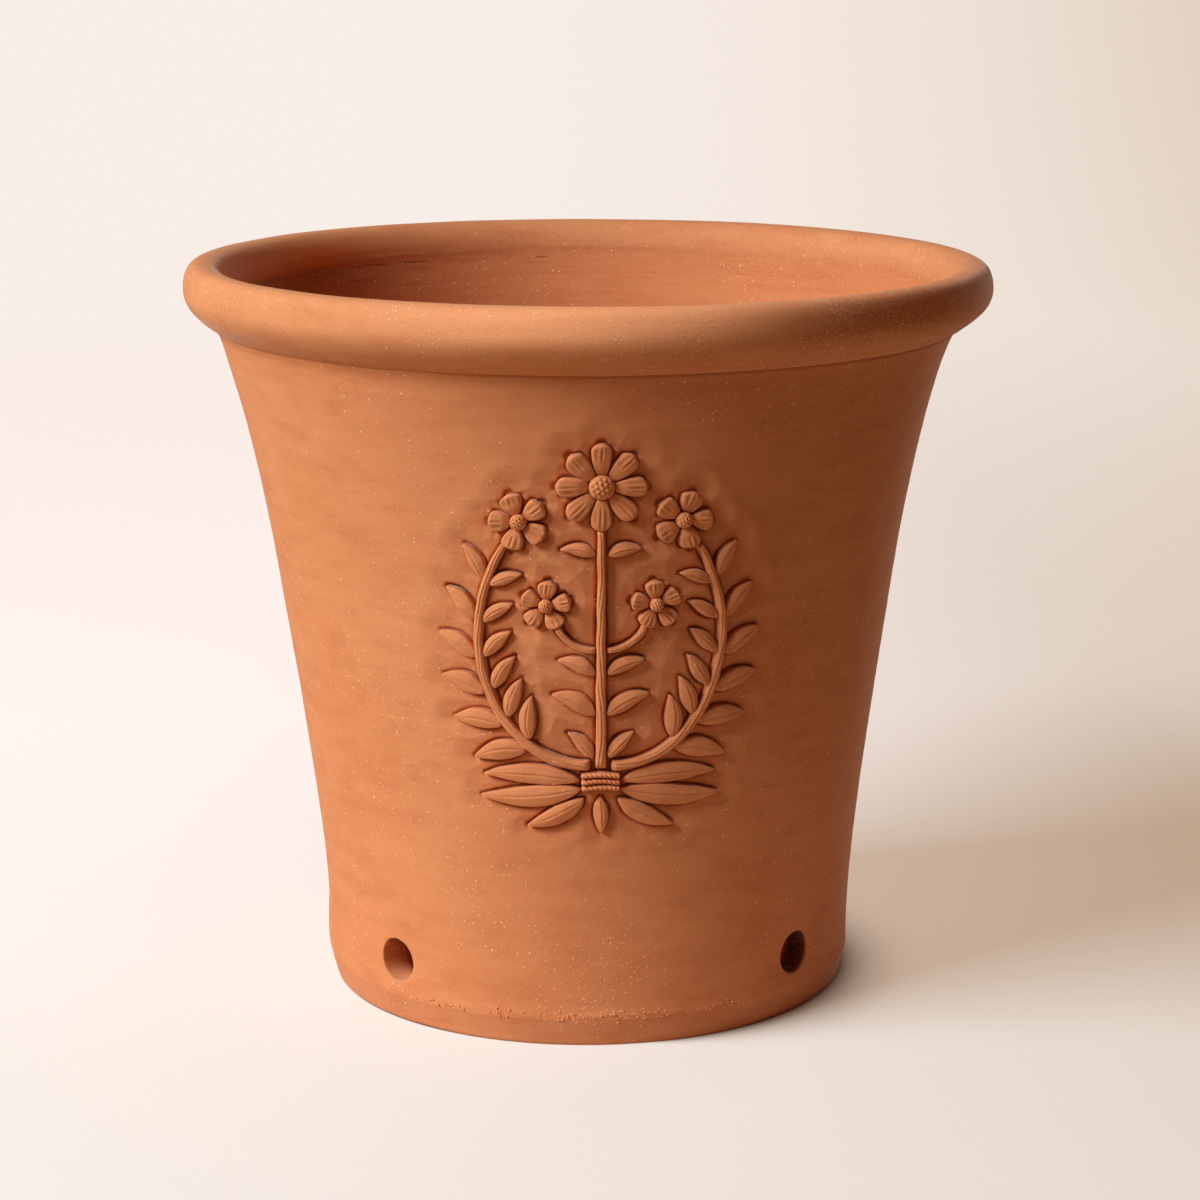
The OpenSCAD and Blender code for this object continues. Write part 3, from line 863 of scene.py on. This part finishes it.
# %% The faces of the sprigs
BURIED = -4
BROW_H = 2.0
SPRIG_GRIT = 0.12
BOSS_SIDES = 40
BOSS_RINGS = 12
BOSS_EDGE_H = 0.6
HALF_FACE = np.array([0.08, 0.18, 0.3, 0.45, 0.62, 0.78, 0.9, 0.97, 1])
FACE = np.concatenate([-HALF_FACE[::-1], [0], HALF_FACE])


def face_relief(sprig, s, t, seed):
    """Height of a sprig's face at places s across and t along, before unevenness."""
    crown = np.interp(t, sprig.t, sprig.crown)
    brow = min(BROW_H, crown)
    shoulder = 0.5 * brow * np.clip((abs(s) - 0.88) / 0.12, 0, 1) ** 2
    round_top = np.sqrt(np.maximum(1 - s * s, 0))
    if sprig.kind == "leaf":
        crest = s - 0.16 * math.sin(7.0 * seed)
        fold = 1 - np.minimum(abs(crest), 1) ** 1.2
        vein = 0.6 * hill(crest, 0, 0.09) * np.clip(5 * (0.9 - t), 0, 1) * np.clip(6 * t, 0, 1)
        return mix(brow, crown, fold) - shoulder - vein
    if sprig.kind == "petal":
        strokes = sum(hill(s, place, 0.07) for place in (-0.52, -0.05, 0.45))
        reach = np.clip(5 * (t - 0.3 - 0.1 * math.sin(9 * seed)), 0, 1) * np.clip(6 * (0.97 - t), 0, 1)
        cup = 0.9 * hill(t, 0, 0.2)
        return mix(brow, crown, 1 - 0.7 * s * s) - shoulder - 0.75 * strokes * reach - cup
    if sprig.kind == "cord":
        lay = 0.45 * np.cos(2 * np.pi * (t * 8 + 0.5 * s))
        return mix(brow, crown, round_top) - shoulder + lay * (1 - s * s)
    bark = 0.2 * np.cos(9 * s + 5 * np.sin(9 * t))
    return mix(brow, crown, round_top) - shoulder + bark * (1 - s * s)


def on_wall(x, y, h):
    """Points on the front of the pot from flat places and heights off the wall."""
    z = RELIEF_Z + y
    r = wall_r(z)
    turn = np.degrees(x / r)
    return round_pot(turn, r + thrown(round_pot(turn, r, z), OUTER_SEED) + h, z)


def sprig_mesh(sprig, seed):
    """Points, faces and painted shade of one sprig, closed all round."""
    way = heading(sprig.path, sprig.t)
    side = np.stack([-way[:, 1], way[:, 0]], -1)
    rows = []
    last = len(sprig.t) - 1
    for i, buried in [(0, True), *((i, False) for i in range(last + 1)), (last, True)]:
        half = max(sprig.half[i], 0.3)
        at_end = -1 if i == 0 else 1 if i == last else 0
        bulge = (0.3 if buried else 0.2) * abs(at_end) * half * np.sqrt(1 - FACE**2)
        flat = sprig.line[i] + np.outer(FACE * half, side[i]) + np.outer(bulge * at_end, way[i])
        high = face_relief(sprig, FACE, sprig.t[i], seed)
        high = high - 0.45 * abs(at_end) * np.maximum(high, 0)
        if buried:
            high = np.full(len(FACE), float(BURIED))
        rows.append((flat, high))
    flat = np.concatenate([np.concatenate([f[:1], f, f[-1:]]) for f, _ in rows])
    high = np.concatenate([np.concatenate([[BURIED], h, [BURIED]]) for _, h in rows])
    own = np.stack([flat[:, 0], flat[:, 1], np.full(len(flat), 40.0 * seed)], -1)
    worn = clay_layers(own, 81, (0.2, 6), (0.1, 2.2))
    for much, size, key in ((0.3, 8, 83), (0.1, 2.4, 85)):
        flat = flat + much * np.stack([clay_noise(own, size, key), clay_noise(own, size, key + 1)], -1)
    points = on_wall(flat[:, 0], flat[:, 1], np.where(high > BURIED, high + worn, high))
    # The last value is painted shade, deeper the lower a point lies.
    return points, tube_faces(len(rows), len(FACE) + 2), np.clip(1 - (high + 0.4) / 1.9, 0, 1)


def boss_mesh(centre, radius):
    """A flower's middle: a dome of small seeds set close together."""
    around = np.radians(np.arange(BOSS_SIDES) * -360 / BOSS_SIDES)
    circle = radius * np.stack([np.cos(around), np.sin(around)], -1)
    flat, high = [circle, circle], [np.full(BOSS_SIDES, float(up)) for up in (BURIED, BOSS_EDGE_H)]
    for a in np.linspace(0.12, math.pi / 2 - 0.06, BOSS_RINGS):
        ring = circle * math.cos(a)
        ways = [ring @ polar(1, 60 * m + 13) / (radius * 0.36) for m in range(3)]
        seeds = sum(np.cos(2 * np.pi * way) for way in ways)
        flat.append(ring)
        high.append(mix(EDGE_H, PETAL_H + BOSS_RISE, math.sin(a)) + 0.3 * seeds)
    x, y = (centre + np.concatenate(flat)).T
    high = np.concatenate(high)
    # The last value is painted shade, deeper the lower a point lies.
    return on_wall(x, y, high), tube_faces(len(flat), BOSS_SIDES), np.clip(1 - (high + 0.4) / 2.4, 0, 1)


def join_shells(shells):
    """One list of points, faces and painted shading from several closed shells."""
    points, faces, painted_shading = [], [], []
    count = 0
    for shell_points, shell_faces, shell_painted_shading in shells:
        points.append(shell_points)
        painted_shading.append(shell_painted_shading)
        faces += [[count + i for i in face] for face in shell_faces]
        count += len(shell_points)
    return np.concatenate(points), faces, np.concatenate(painted_shading)


def build_spray():
    meshes = {}
    for number, (node, sprigs) in enumerate(SPRAY.items(), 1):
        meshes[node] = join_shells([sprig_mesh(sprig, number + 0.1 * k) for k, sprig in enumerate(sprigs)])
    for node, (centre, radius) in BOSSES.items():
        meshes[node] = boss_mesh(centre, radius)
    pieces = []
    for node, (points, faces, painted_shading) in meshes.items():
        pieces.append(make_piece(f"{node}_sprig", points, faces, node, painted_shading, SPRIG_GRIT))
    return pieces


sprigs = build_spray()

# %% [markdown]
# Along the ridge, crumbs of clay that the joining tool pushed up were never wiped off. They are
# small lumps scattered by a seeded random generator, thicker in a few stretches, half sunk into the
# clay. They have no solid of their own, because they are only a finish.

# %% Crumbs along the ridge
CRUMBS = 170
CRUMB_PATCHES = ((-36, 3), (-18, 6), (-4, 4), (12, 8), (28, 3), (140, 30))
CRUMB_LEAST = 0.25
CRUMB_SPREAD = 0.45
CRUMB_SHAPE = [1.2, 1.2, 0.8]
# Painted light: the crumbs are made pale so that they look lit.
CRUMB_PAINTED_LIGHT = -0.7
CRUMB_GRIT = 0.3


def lump_shape():
    """Corners and triangles of a twenty-sided lump."""
    golden = (1 + 5**0.5) / 2
    pairs = itertools.product((-1, 1), (-golden, golden))
    corners = np.array([v for a, b in pairs for v in ((0, a, b), (a, b, 0), (b, 0, a))])
    corners = corners / np.linalg.norm(corners, axis=1)[:, None]
    gap = np.linalg.norm(corners[:, None] - corners[None], axis=-1)
    close = gap < gap[gap > 0].min() * 1.1
    sides = [t for t in itertools.combinations(range(12), 3) if close[np.ix_(t, t)].all()]
    faces = []
    for a, b, c in sides:
        outward = np.dot(np.cross(corners[b] - corners[a], corners[c] - corners[a]), corners[a]) > 0
        faces.append([a, b, c] if outward else [a, c, b])
    return corners, faces


def build_crumbs():
    draw = np.random.default_rng(5)
    corners, faces = lump_shape()
    shells = []
    patches = np.array(CRUMB_PATCHES)[draw.integers(len(CRUMB_PATCHES), size=CRUMBS)]
    turns = draw.normal(patches[:, 0], patches[:, 1])
    seats, _ = outer_face(turns, FOOT_H + 2 + draw.normal(0, 1.2, CRUMBS))
    for seat in seats:
        size = CRUMB_LEAST + CRUMB_SPREAD * draw.uniform() ** 2
        outward = seat * [1, 1, 0] / np.hypot(seat[0], seat[1])
        shape = corners * draw.uniform(0.7, 1.25, (len(corners), 1)) * size * CRUMB_SHAPE
        shells.append((seat + outward * 0.25 * size + shape, faces, np.full(len(corners), CRUMB_PAINTED_LIGHT)))
    points, faces, painted_shading = join_shells(shells)
    return make_piece("ridge_crumbs", points, faces, None, painted_shading, CRUMB_GRIT)


crumbs = build_crumbs()

# %% [markdown]
# Fired clay has no gloss and no single colour. One node group gives every piece the same clay: broad
# mottling from the kiln, faint streaks from turning, a fine grain, and grains of grit that stand up
# from the skin, each with a painted shadow below it on the right that also dents the skin a little.
# The marks stored on the meshes tell the group where to paint light and shade: painted shade makes
# the skin redder and more streaky, with dark strokes, deep painted shade makes it nearly black, and
# painted light makes it pale. Each material places the group with its own values and keeps its own
# shader.

# %% Helpers for node trees


class Wiring:
    """Places nodes in a tree and feeds their sockets, by name or number."""

    def __init__(self, tree):
        self.tree = tree

    def node(self, kind, inputs, **settings):
        """Outputs of a new node whose sockets take plain values or other nodes' outputs."""
        made = self.tree.nodes.new(kind)
        count = len(self.tree.nodes)
        made.location = (count % 9 * 200, -(count // 9) * 260)
        for key, value in settings.items():
            setattr(made, key, value)
        for key, value in inputs.items():
            if isinstance(value, bpy.types.NodeSocket):
                self.tree.links.new(value, made.inputs[key])
            else:
                made.inputs[key].default_value = value
        return made.outputs

    def maths(self, operation, a, b=0.0):
        return self.node("ShaderNodeMath", {0: a, 1: b}, operation=operation)[0]

    def sum_of(self, *values):
        total = values[0]
        for value in values[1:]:
            total = self.maths("ADD", total, value)
        return total

    def times(self, a, b):
        return self.maths("MULTIPLY", a, b)

    def noise(self, place, scale, detail=3.0, roughness=0.55):
        sockets = {"Vector": place, "Scale": scale, "Detail": detail, "Roughness": roughness}
        return self.node("ShaderNodeTexNoise", sockets)["Fac"]

    def mark(self, name):
        return self.node("ShaderNodeAttribute", {}, attribute_name=name)["Fac"]

    def moved(self, place, shift=(0, 0, 0), scale=(1, 1, 1)):
        sockets = {"Vector": place, "Location": shift, "Scale": scale}
        return self.node("ShaderNodeMapping", sockets)[0]

    def ramp(self, value, low, high):
        """A value taken from low..high to 0..1."""
        return self.node("ShaderNodeMapRange", {0: value, 1: low, 2: high})[0]

    def tint(self, share, a, b):
        return self.node("ShaderNodeMix", {0: share, 6: a, 7: b}, data_type="RGBA")[2]


def fresh_wiring(owner):
    """Wiring in the emptied node tree of a material or a world."""
    owner.use_nodes = True
    owner.node_tree.nodes.clear()
    return Wiring(owner.node_tree)


def new_group(name, inputs, outputs):
    """A shader node group: numbers are inputs for values, and tuples are inputs for colours."""
    group = bpy.data.node_groups.new(name, "ShaderNodeTree")
    for socket, value in inputs.items():
        kind = "NodeSocketFloat" if isinstance(value, float) else "NodeSocketColor"
        group.interface.new_socket(socket, in_out="INPUT", socket_type=kind).default_value = value
    for socket, kind in outputs.items():
        group.interface.new_socket(socket, in_out="OUTPUT", socket_type=kind)
    return group


# %% The clay node group
GRAINS_PER_METRE = 680.0
GRAIN_LEAST = 0.34
GRAIN_SPREAD = 0.4
GRAIN_COLOR = (1.0, 0.64, 0.38, 1)
SHADOW_AND_STROKE_COLOR = (0.26, 0.07, 0.025, 1)
DEEP_SHADE_COLOR = (0.05, 0.012, 0.004, 1)
GRAIN_SHADOW_SHIFT = (-0.0004, 0, 0.0006)
CLAY_INPUTS = {
    "Clay": (0.6, 0.25, 0.1, 1),
    "Red Clay": (0.5, 0.16, 0.06, 1),
    "Pale Clay": (0.7, 0.36, 0.18, 1),
    "Mottling": 0.5,
    "Streaks": 0.5,
    "Grit": 0.3,
}
CLAY_OUTPUTS = {"Color": "NodeSocketColor", "Roughness": "NodeSocketFloat", "Height": "NodeSocketFloat"}


def grains(w, place, share):
    """Mask of grit grains scattered over the clay, and a lot for each that varies its colour."""
    cells = w.node("ShaderNodeTexVoronoi", {"Vector": place, "Scale": GRAINS_PER_METRE}, distance="MANHATTAN")
    lot = w.node("ShaderNodeSeparateColor", {"Color": cells["Color"]})
    chosen = w.maths("LESS_THAN", lot["Red"], share)
    size = w.sum_of(w.times(w.times(lot["Green"], lot["Green"]), GRAIN_SPREAD), GRAIN_LEAST)
    near = w.ramp(cells["Distance"], size, w.times(size, 0.5))
    return w.times(chosen, near), lot["Blue"]


def build_clay_group():
    group = new_group("fired_clay", CLAY_INPUTS, CLAY_OUTPUTS)
    w = Wiring(group)
    given = w.node("NodeGroupInput", {})
    red, pale = given["Red Clay"], given["Pale Clay"]
    place = w.node("ShaderNodeTexCoord", {})["Object"]
    painted_shading = w.mark("painted_shading")
    broad = w.noise(place, 9.0, 4.0)
    drawn_out = w.moved(place, shift=(3, 1, 2), scale=(0.45, 0.45, 1.2))
    patches = w.noise(drawn_out, 42.0, 4.0, 0.6)
    blush = w.noise(drawn_out, 85.0, 3.0, 0.6)
    turning = w.noise(w.moved(place, scale=(9, 9, 320)), 1.0)
    strokes = w.noise(w.moved(place, scale=(22, 22, 620)), 1.0, 2.0)
    skin = w.noise(place, 520.0, 3.0, 0.65)
    grain = w.noise(place, 1500.0, 2.0, 0.7)
    mottle = w.ramp(w.sum_of(w.times(broad, 0.6), w.times(patches, 0.4)), 0.35, 0.65)
    streaks = w.sum_of(given["Streaks"], w.times(painted_shading, 0.8))
    share = w.times(given["Grit"], w.mark("grit"))
    spot, lot = grains(w, place, share)
    # The same grains moved down and to the right: a painted shadow beside each one.
    grain_shadow, _ = grains(w, w.moved(place, shift=GRAIN_SHADOW_SHIFT), share)
    layers = [
        (w.times(mottle, given["Mottling"]), pale),
        (w.times(w.ramp(blush, 0.46, 0.68), 0.36), red),
        (w.times(w.ramp(turning, 0.5, 0.75), streaks), red),
        # Painted shade and painted light, from the mark on the meshes.
        (w.times(painted_shading, 0.75), red),
        (w.ramp(painted_shading, 0.9, 2.0), DEEP_SHADE_COLOR),
        (w.ramp(painted_shading, 0.0, -1.0), pale),
        (w.times(w.ramp(skin, 0.3, 0.75), 0.24), pale),
        (w.times(w.ramp(grain, 0.5, 0.8), 0.3), red),
        (w.times(w.ramp(strokes, 0.56, 0.75), w.ramp(painted_shading, 0.5, 1.6)), SHADOW_AND_STROKE_COLOR),
        (w.times(grain_shadow, 0.2), SHADOW_AND_STROKE_COLOR),
        (w.times(spot, w.sum_of(w.times(lot, 0.6), 0.4)), GRAIN_COLOR),
    ]
    color = given["Clay"]
    for mask, tone in layers:
        color = w.tint(mask, color, tone)
    relief = ((grain, 0.4), (skin, 0.7), (patches, 0.6), (turning, streaks), (spot, 0.12), (grain_shadow, -0.12))
    height = w.sum_of(*(w.times(mask, depth) for mask, depth in relief))
    rough = w.sum_of(w.times(patches, 0.16), 0.74)
    w.node("NodeGroupOutput", {"Color": color, "Roughness": rough, "Height": height})
    return group


CLAY_GROUP = build_clay_group()
print("clay group:", len(CLAY_GROUP.nodes), "nodes")

# %% [markdown]
# Each clay material is a Principled shader with that group in front of it. The bump node turns the
# group's height into small shadows, one or two tenths of a millimetre deep: everything larger is in
# the meshes. The rim was sponged, so it shows more grit than the wall, the foot was scraped, and the
# sprigs keep deeper tool marks. Fired clay is nearly without gloss, but its dusty skin catches a little
# light where it is seen edge on, which is what the shader's sheen is for.

# %% Materials
BUMP_STRENGTH = 0.8
BUMP_DEPTH = 0.16
TOOLED_DEPTH = 0.3
GLOSS = 0.15
DUST_SHEEN = 0.18
DUST_ROUGHNESS = 0.3
DUST_TINT = (1, 0.94, 0.8, 1)
# RED also tints painted shade, and PALE and RIM_PALE also tint painted light.
RED = (0.55, 0.17, 0.06, 1)
PALE = (0.83, 0.37, 0.175, 1)
RIM_PALE = (0.98, 0.44, 0.205, 1)


def clay_material(name, clay, mottling, streaks, grit, pale=PALE, bump_depth=BUMP_DEPTH):
    material = bpy.data.materials.new(name)
    w = fresh_wiring(material)
    values = ((*clay, 1), RED, pale, mottling, streaks, grit)
    fired = w.node("ShaderNodeGroup", dict(zip(CLAY_INPUTS, values)), node_tree=CLAY_GROUP)
    depth = {"Strength": BUMP_STRENGTH, "Distance": bump_depth * MM}
    bump = w.node("ShaderNodeBump", {**depth, "Height": fired["Height"]})
    sockets = {"Base Color": fired["Color"], "Roughness": fired["Roughness"], "Normal": bump[0]}
    plain = {"Specular IOR Level": GLOSS, "Sheen Weight": DUST_SHEEN, "Sheen Roughness": DUST_ROUGHNESS}
    shader = w.node("ShaderNodeBsdfPrincipled", {**sockets, **plain, "Sheen Tint": DUST_TINT})
    w.node("ShaderNodeOutputMaterial", {"Surface": shader[0]})
    return material


body_clay = clay_material("body_clay", (0.69, 0.266, 0.107), mottling=0.5, streaks=0.12, grit=0.8)
rim_clay = clay_material(
    "rim_clay", (0.67, 0.283, 0.122), mottling=0.22, streaks=0.12, grit=1.5, pale=RIM_PALE
)
foot_clay = clay_material("foot_clay", (0.62, 0.265, 0.125), mottling=0.5, streaks=0.15, grit=0.9)
sprig_clay = clay_material(
    "sprig_clay", (0.71, 0.273, 0.11), mottling=0.4, streaks=0.0, grit=0.4, bump_depth=TOOLED_DEPTH
)
for piece, material in ((wall, body_clay), (rim, rim_clay), (slab, foot_clay), (crumbs, foot_clay)):
    piece.data.materials.append(material)
for piece in sprigs:
    piece.data.materials.append(sprig_clay)
print("materials:", [m.name for m in bpy.data.materials])

# %% [markdown]
# The camera stands where the photograph was taken from: a long lens, a little above the rim, looking
# down. The pot is turned a hair to one side of it, so the camera is placed in its own frame first and
# then swung round the pot's axis.

# %% Camera
LENS = 96
SENSOR = 36
CAMERA_PLACE = Vector((6.7, -1586.2, 544.2)) * MM
PITCH_DOWN = 12.568
ROLL = -0.262
POT_TURN = 2.65


def aim_camera():
    data = bpy.data.cameras.new("camera")
    data.lens = LENS
    data.sensor_width = SENSOR
    data.sensor_fit = "HORIZONTAL"
    data.clip_end = 50
    camera = new_object("camera", data)
    swing, look, roll = (
        Matrix.Rotation(math.radians(angle), 4, axis)
        for angle, axis in ((-POT_TURN, "Z"), (90 - PITCH_DOWN, "X"), (ROLL, "Z"))
    )
    camera.matrix_world = swing @ Matrix.Translation(CAMERA_PLACE) @ look @ roll
    bpy.context.scene.camera = camera
    return camera


camera = aim_camera()
print("camera at", [round(x, 3) for x in camera.matrix_world.translation])

# %% [markdown]
# The pot stands on pale paper that curves up behind it. To the camera the paper is nearly white on
# the left and darker and warmer on the right. The light that it throws back on the pot is warm: strong
# close by, where it lifts the foot, and weak further off, because an all white floor would wash out
# the shaded side. Light Path's rays tell the two apart, so a pale background needs no extra lamp. To
# the camera the paper shines by itself, far from the pot so that it doesn't darken where the lamp's
# light fades, and near it too, where the pot's shadow stays. That glow is painted light and shade:
# lighter behind the pot and darker on the right, where the pot's shadow falls. Beside the foot the
# paper is painted dark as painted shadow, most on the right, where no lamp reaches in.

# %% Floor and backdrop
SWEEP_FRONT = -9.0
SWEEP_BACK = 2.6
SWEEP_R = 1.2
SWEEP_HALF = 9.0


def build_sweep():
    curve = np.radians(np.arange(5, 91, 5))
    profile = [(y, 0.0) for y in np.linspace(SWEEP_FRONT, SWEEP_BACK, 12)]
    profile += [(SWEEP_BACK + SWEEP_R * math.sin(a), SWEEP_R * (1 - math.cos(a))) for a in curve]
    profile += [(SWEEP_BACK + SWEEP_R, z) for z in (2.0, 3.0, 4.5)]
    across = np.linspace(-SWEEP_HALF, SWEEP_HALF, 13)
    points = [(x, y, z) for y, z in profile for x in across]
    mesh = bpy.data.meshes.new("paper_sweep")
    mesh.from_pydata(points, [], grid_quads(len(profile), len(across)))
    mesh.shade_smooth()
    sweep = new_object("paper_sweep", mesh)
    sweep.rotation_euler.z = math.radians(-POT_TURN)
    return sweep


BOUNCE_NEAR = (0.77, 0.6, 0.46, 1)
BOUNCE_FAR = (0.33, 0.235, 0.13, 1)
PAPER_NEAR = (0.46, 0.53, 0.59, 1)
NEAR_GLOW_LEFT = (0.625, 0.56, 0.48, 1)
NEAR_GLOW_RIGHT = (0.385, 0.25, 0.145, 1)
NEAR_GLOW_BEHIND = (0.69, 0.55, 0.485, 1)
FAR_GLOW_LEFT = (0.948, 0.857, 0.8, 1)
FAR_GLOW_RIGHT = (0.74, 0.625, 0.52, 1)
CONTACT_SHADOW_GLOW = (0.015, 0.006, 0.002, 1)
CONTACT_SHADOW_PAPER = (0.24, 0.16, 0.11, 1)
CONTACT_REACH = 66
CONTACT_FALL = 3.8
CONTACT_SIDE = (0.03, 0.125)
NEAR_TO_FAR = (0.6, 2.6)
NEAR_ACROSS = (-0.75, 0.75)
FAR_ACROSS = (-0.4, 1.0)
LIT_LEFT = (-0.6, -1.3)
BOUNCE_FALL = (0.35, 0.6)
BEHIND_DEEP = (-0.15, 0.5)
BEHIND_ACROSS = (0.35, -0.25)
BLACK = (0, 0, 0, 1)


def seen_rays(w):
    """1 where a ray comes from the camera, a reflection or glass, and 0 for light that is thrown on."""
    rays = w.node("ShaderNodeLightPath", {})
    seen = w.maths("MAXIMUM", rays["Is Camera Ray"], rays["Is Glossy Ray"])
    return w.maths("MAXIMUM", seen, rays["Is Transmission Ray"])


def paper_material():
    material = bpy.data.materials.new("paper")
    w = fresh_wiring(material)
    seen = seen_rays(w)
    place = w.node("ShaderNodeTexCoord", {})["Object"]
    apart = w.node("ShaderNodeSeparateXYZ", {0: place})
    across, deep = apart["X"], apart["Y"]
    right = w.ramp(across, *NEAR_ACROSS)
    away = w.node("ShaderNodeVectorMath", {0: place}, operation="LENGTH")["Value"]
    far = w.ramp(away, *NEAR_TO_FAR)
    # The glow to the camera is painted shade and light: darker on the right, lighter behind the pot.
    near_glow = w.tint(right, NEAR_GLOW_LEFT, NEAR_GLOW_RIGHT)
    behind = w.times(w.ramp(deep, *BEHIND_DEEP), w.ramp(across, *BEHIND_ACROSS))
    near_glow = w.tint(behind, near_glow, NEAR_GLOW_BEHIND)
    # Painted shadow beside the foot: wide on the right and a thin line on the left.
    reach = w.sum_of(w.times(w.ramp(across, *CONTACT_SIDE), CONTACT_REACH * MM), (BASE_R + 1) * MM)
    close = w.maths("POWER", w.ramp(away, reach, (BASE_R - 1) * MM), CONTACT_FALL)
    near_glow = w.tint(close, near_glow, CONTACT_SHADOW_GLOW)
    late = w.ramp(across, *FAR_ACROSS)
    far_glow = w.tint(w.times(late, late), FAR_GLOW_LEFT, FAR_GLOW_RIGHT)
    bounce = w.tint(w.ramp(away, *BOUNCE_FALL), BOUNCE_NEAR, BOUNCE_FAR)
    lit = w.maths("MAXIMUM", far, w.ramp(across, *LIT_LEFT))
    paper = w.tint(close, w.tint(lit, PAPER_NEAR, BLACK), CONTACT_SHADOW_PAPER)
    color = w.tint(seen, bounce, paper)
    glow = w.tint(seen, BLACK, w.tint(far, near_glow, far_glow))
    sockets = {"Base Color": color, "Emission Color": glow, "Emission Strength": 1.0}
    shader = w.node("ShaderNodeBsdfPrincipled", {**sockets, "Roughness": 1.0, "Specular IOR Level": 0.0})
    w.node("ShaderNodeOutputMaterial", {"Surface": shader[0]})
    return material


sweep = build_sweep()
sweep.data.materials.append(paper_material())
print("sweep points:", len(sweep.data.vertices))

# %% [markdown]
# One wide soft box on the left, above the rim and a little to the front, does almost all of the
# work: it models the roundness of the pot, rakes across the relief and throws the long soft shadow.
# The room around gives only a trace of warm light. A weak second soft box, behind the pot on the
# right, stands for a pale wall there: it draws the right edge of the pot out of the shade.

# %% Lamps
AIM = Vector((0, 0, 0.18))
KEY_DISTANCE = 5.0
KEY_LEVEL = 3.6
EDGE_DISTANCE = 3.0
EDGE_LEVEL = 0.55
ROOM_LIGHT = (0.105, 0.03, 0.008, 1)
ROOM_SEEN = (0.86, 0.75, 0.685, 1)


def soft_box(name, azimuth, elevation, distance, width, height, level):
    """A soft box at an angle round the pot, 0 at the camera, that gives it a level of light."""
    data = bpy.data.lights.new(name, "AREA")
    data.shape = "RECTANGLE"
    data.size = width
    data.size_y = height
    data.energy = level * math.pi * distance**2
    lamp = new_object(name, data)
    a, e = math.radians(azimuth - POT_TURN), math.radians(elevation)
    away = Vector((math.sin(a) * math.cos(e), -math.cos(a) * math.cos(e), math.sin(e)))
    lamp.location = AIM + away * distance
    lamp.rotation_mode = "QUATERNION"
    lamp.rotation_quaternion = away.to_track_quat("Z", "Y")
    return lamp


def light_room():
    world = bpy.data.worlds.new("studio")
    bpy.context.scene.world = world
    w = fresh_wiring(world)
    color = w.tint(seen_rays(w), ROOM_LIGHT, ROOM_SEEN)
    room = w.node("ShaderNodeBackground", {"Color": color, "Strength": 1.0})
    w.node("ShaderNodeOutputWorld", {"Surface": room[0]})
    return world


key = soft_box("key", -62, 35, KEY_DISTANCE, width=2.9, height=1.8, level=KEY_LEVEL)
edge_light = soft_box("edge_light", 148, 6, EDGE_DISTANCE, width=1.0, height=1.2, level=EDGE_LEVEL)
world = light_room()
for lamp in (key, edge_light):
    print(lamp.name, "lamp at", [round(x, 2) for x in lamp.location])

# %% Finish
bpy.context.scene.view_settings.view_transform = "Standard"
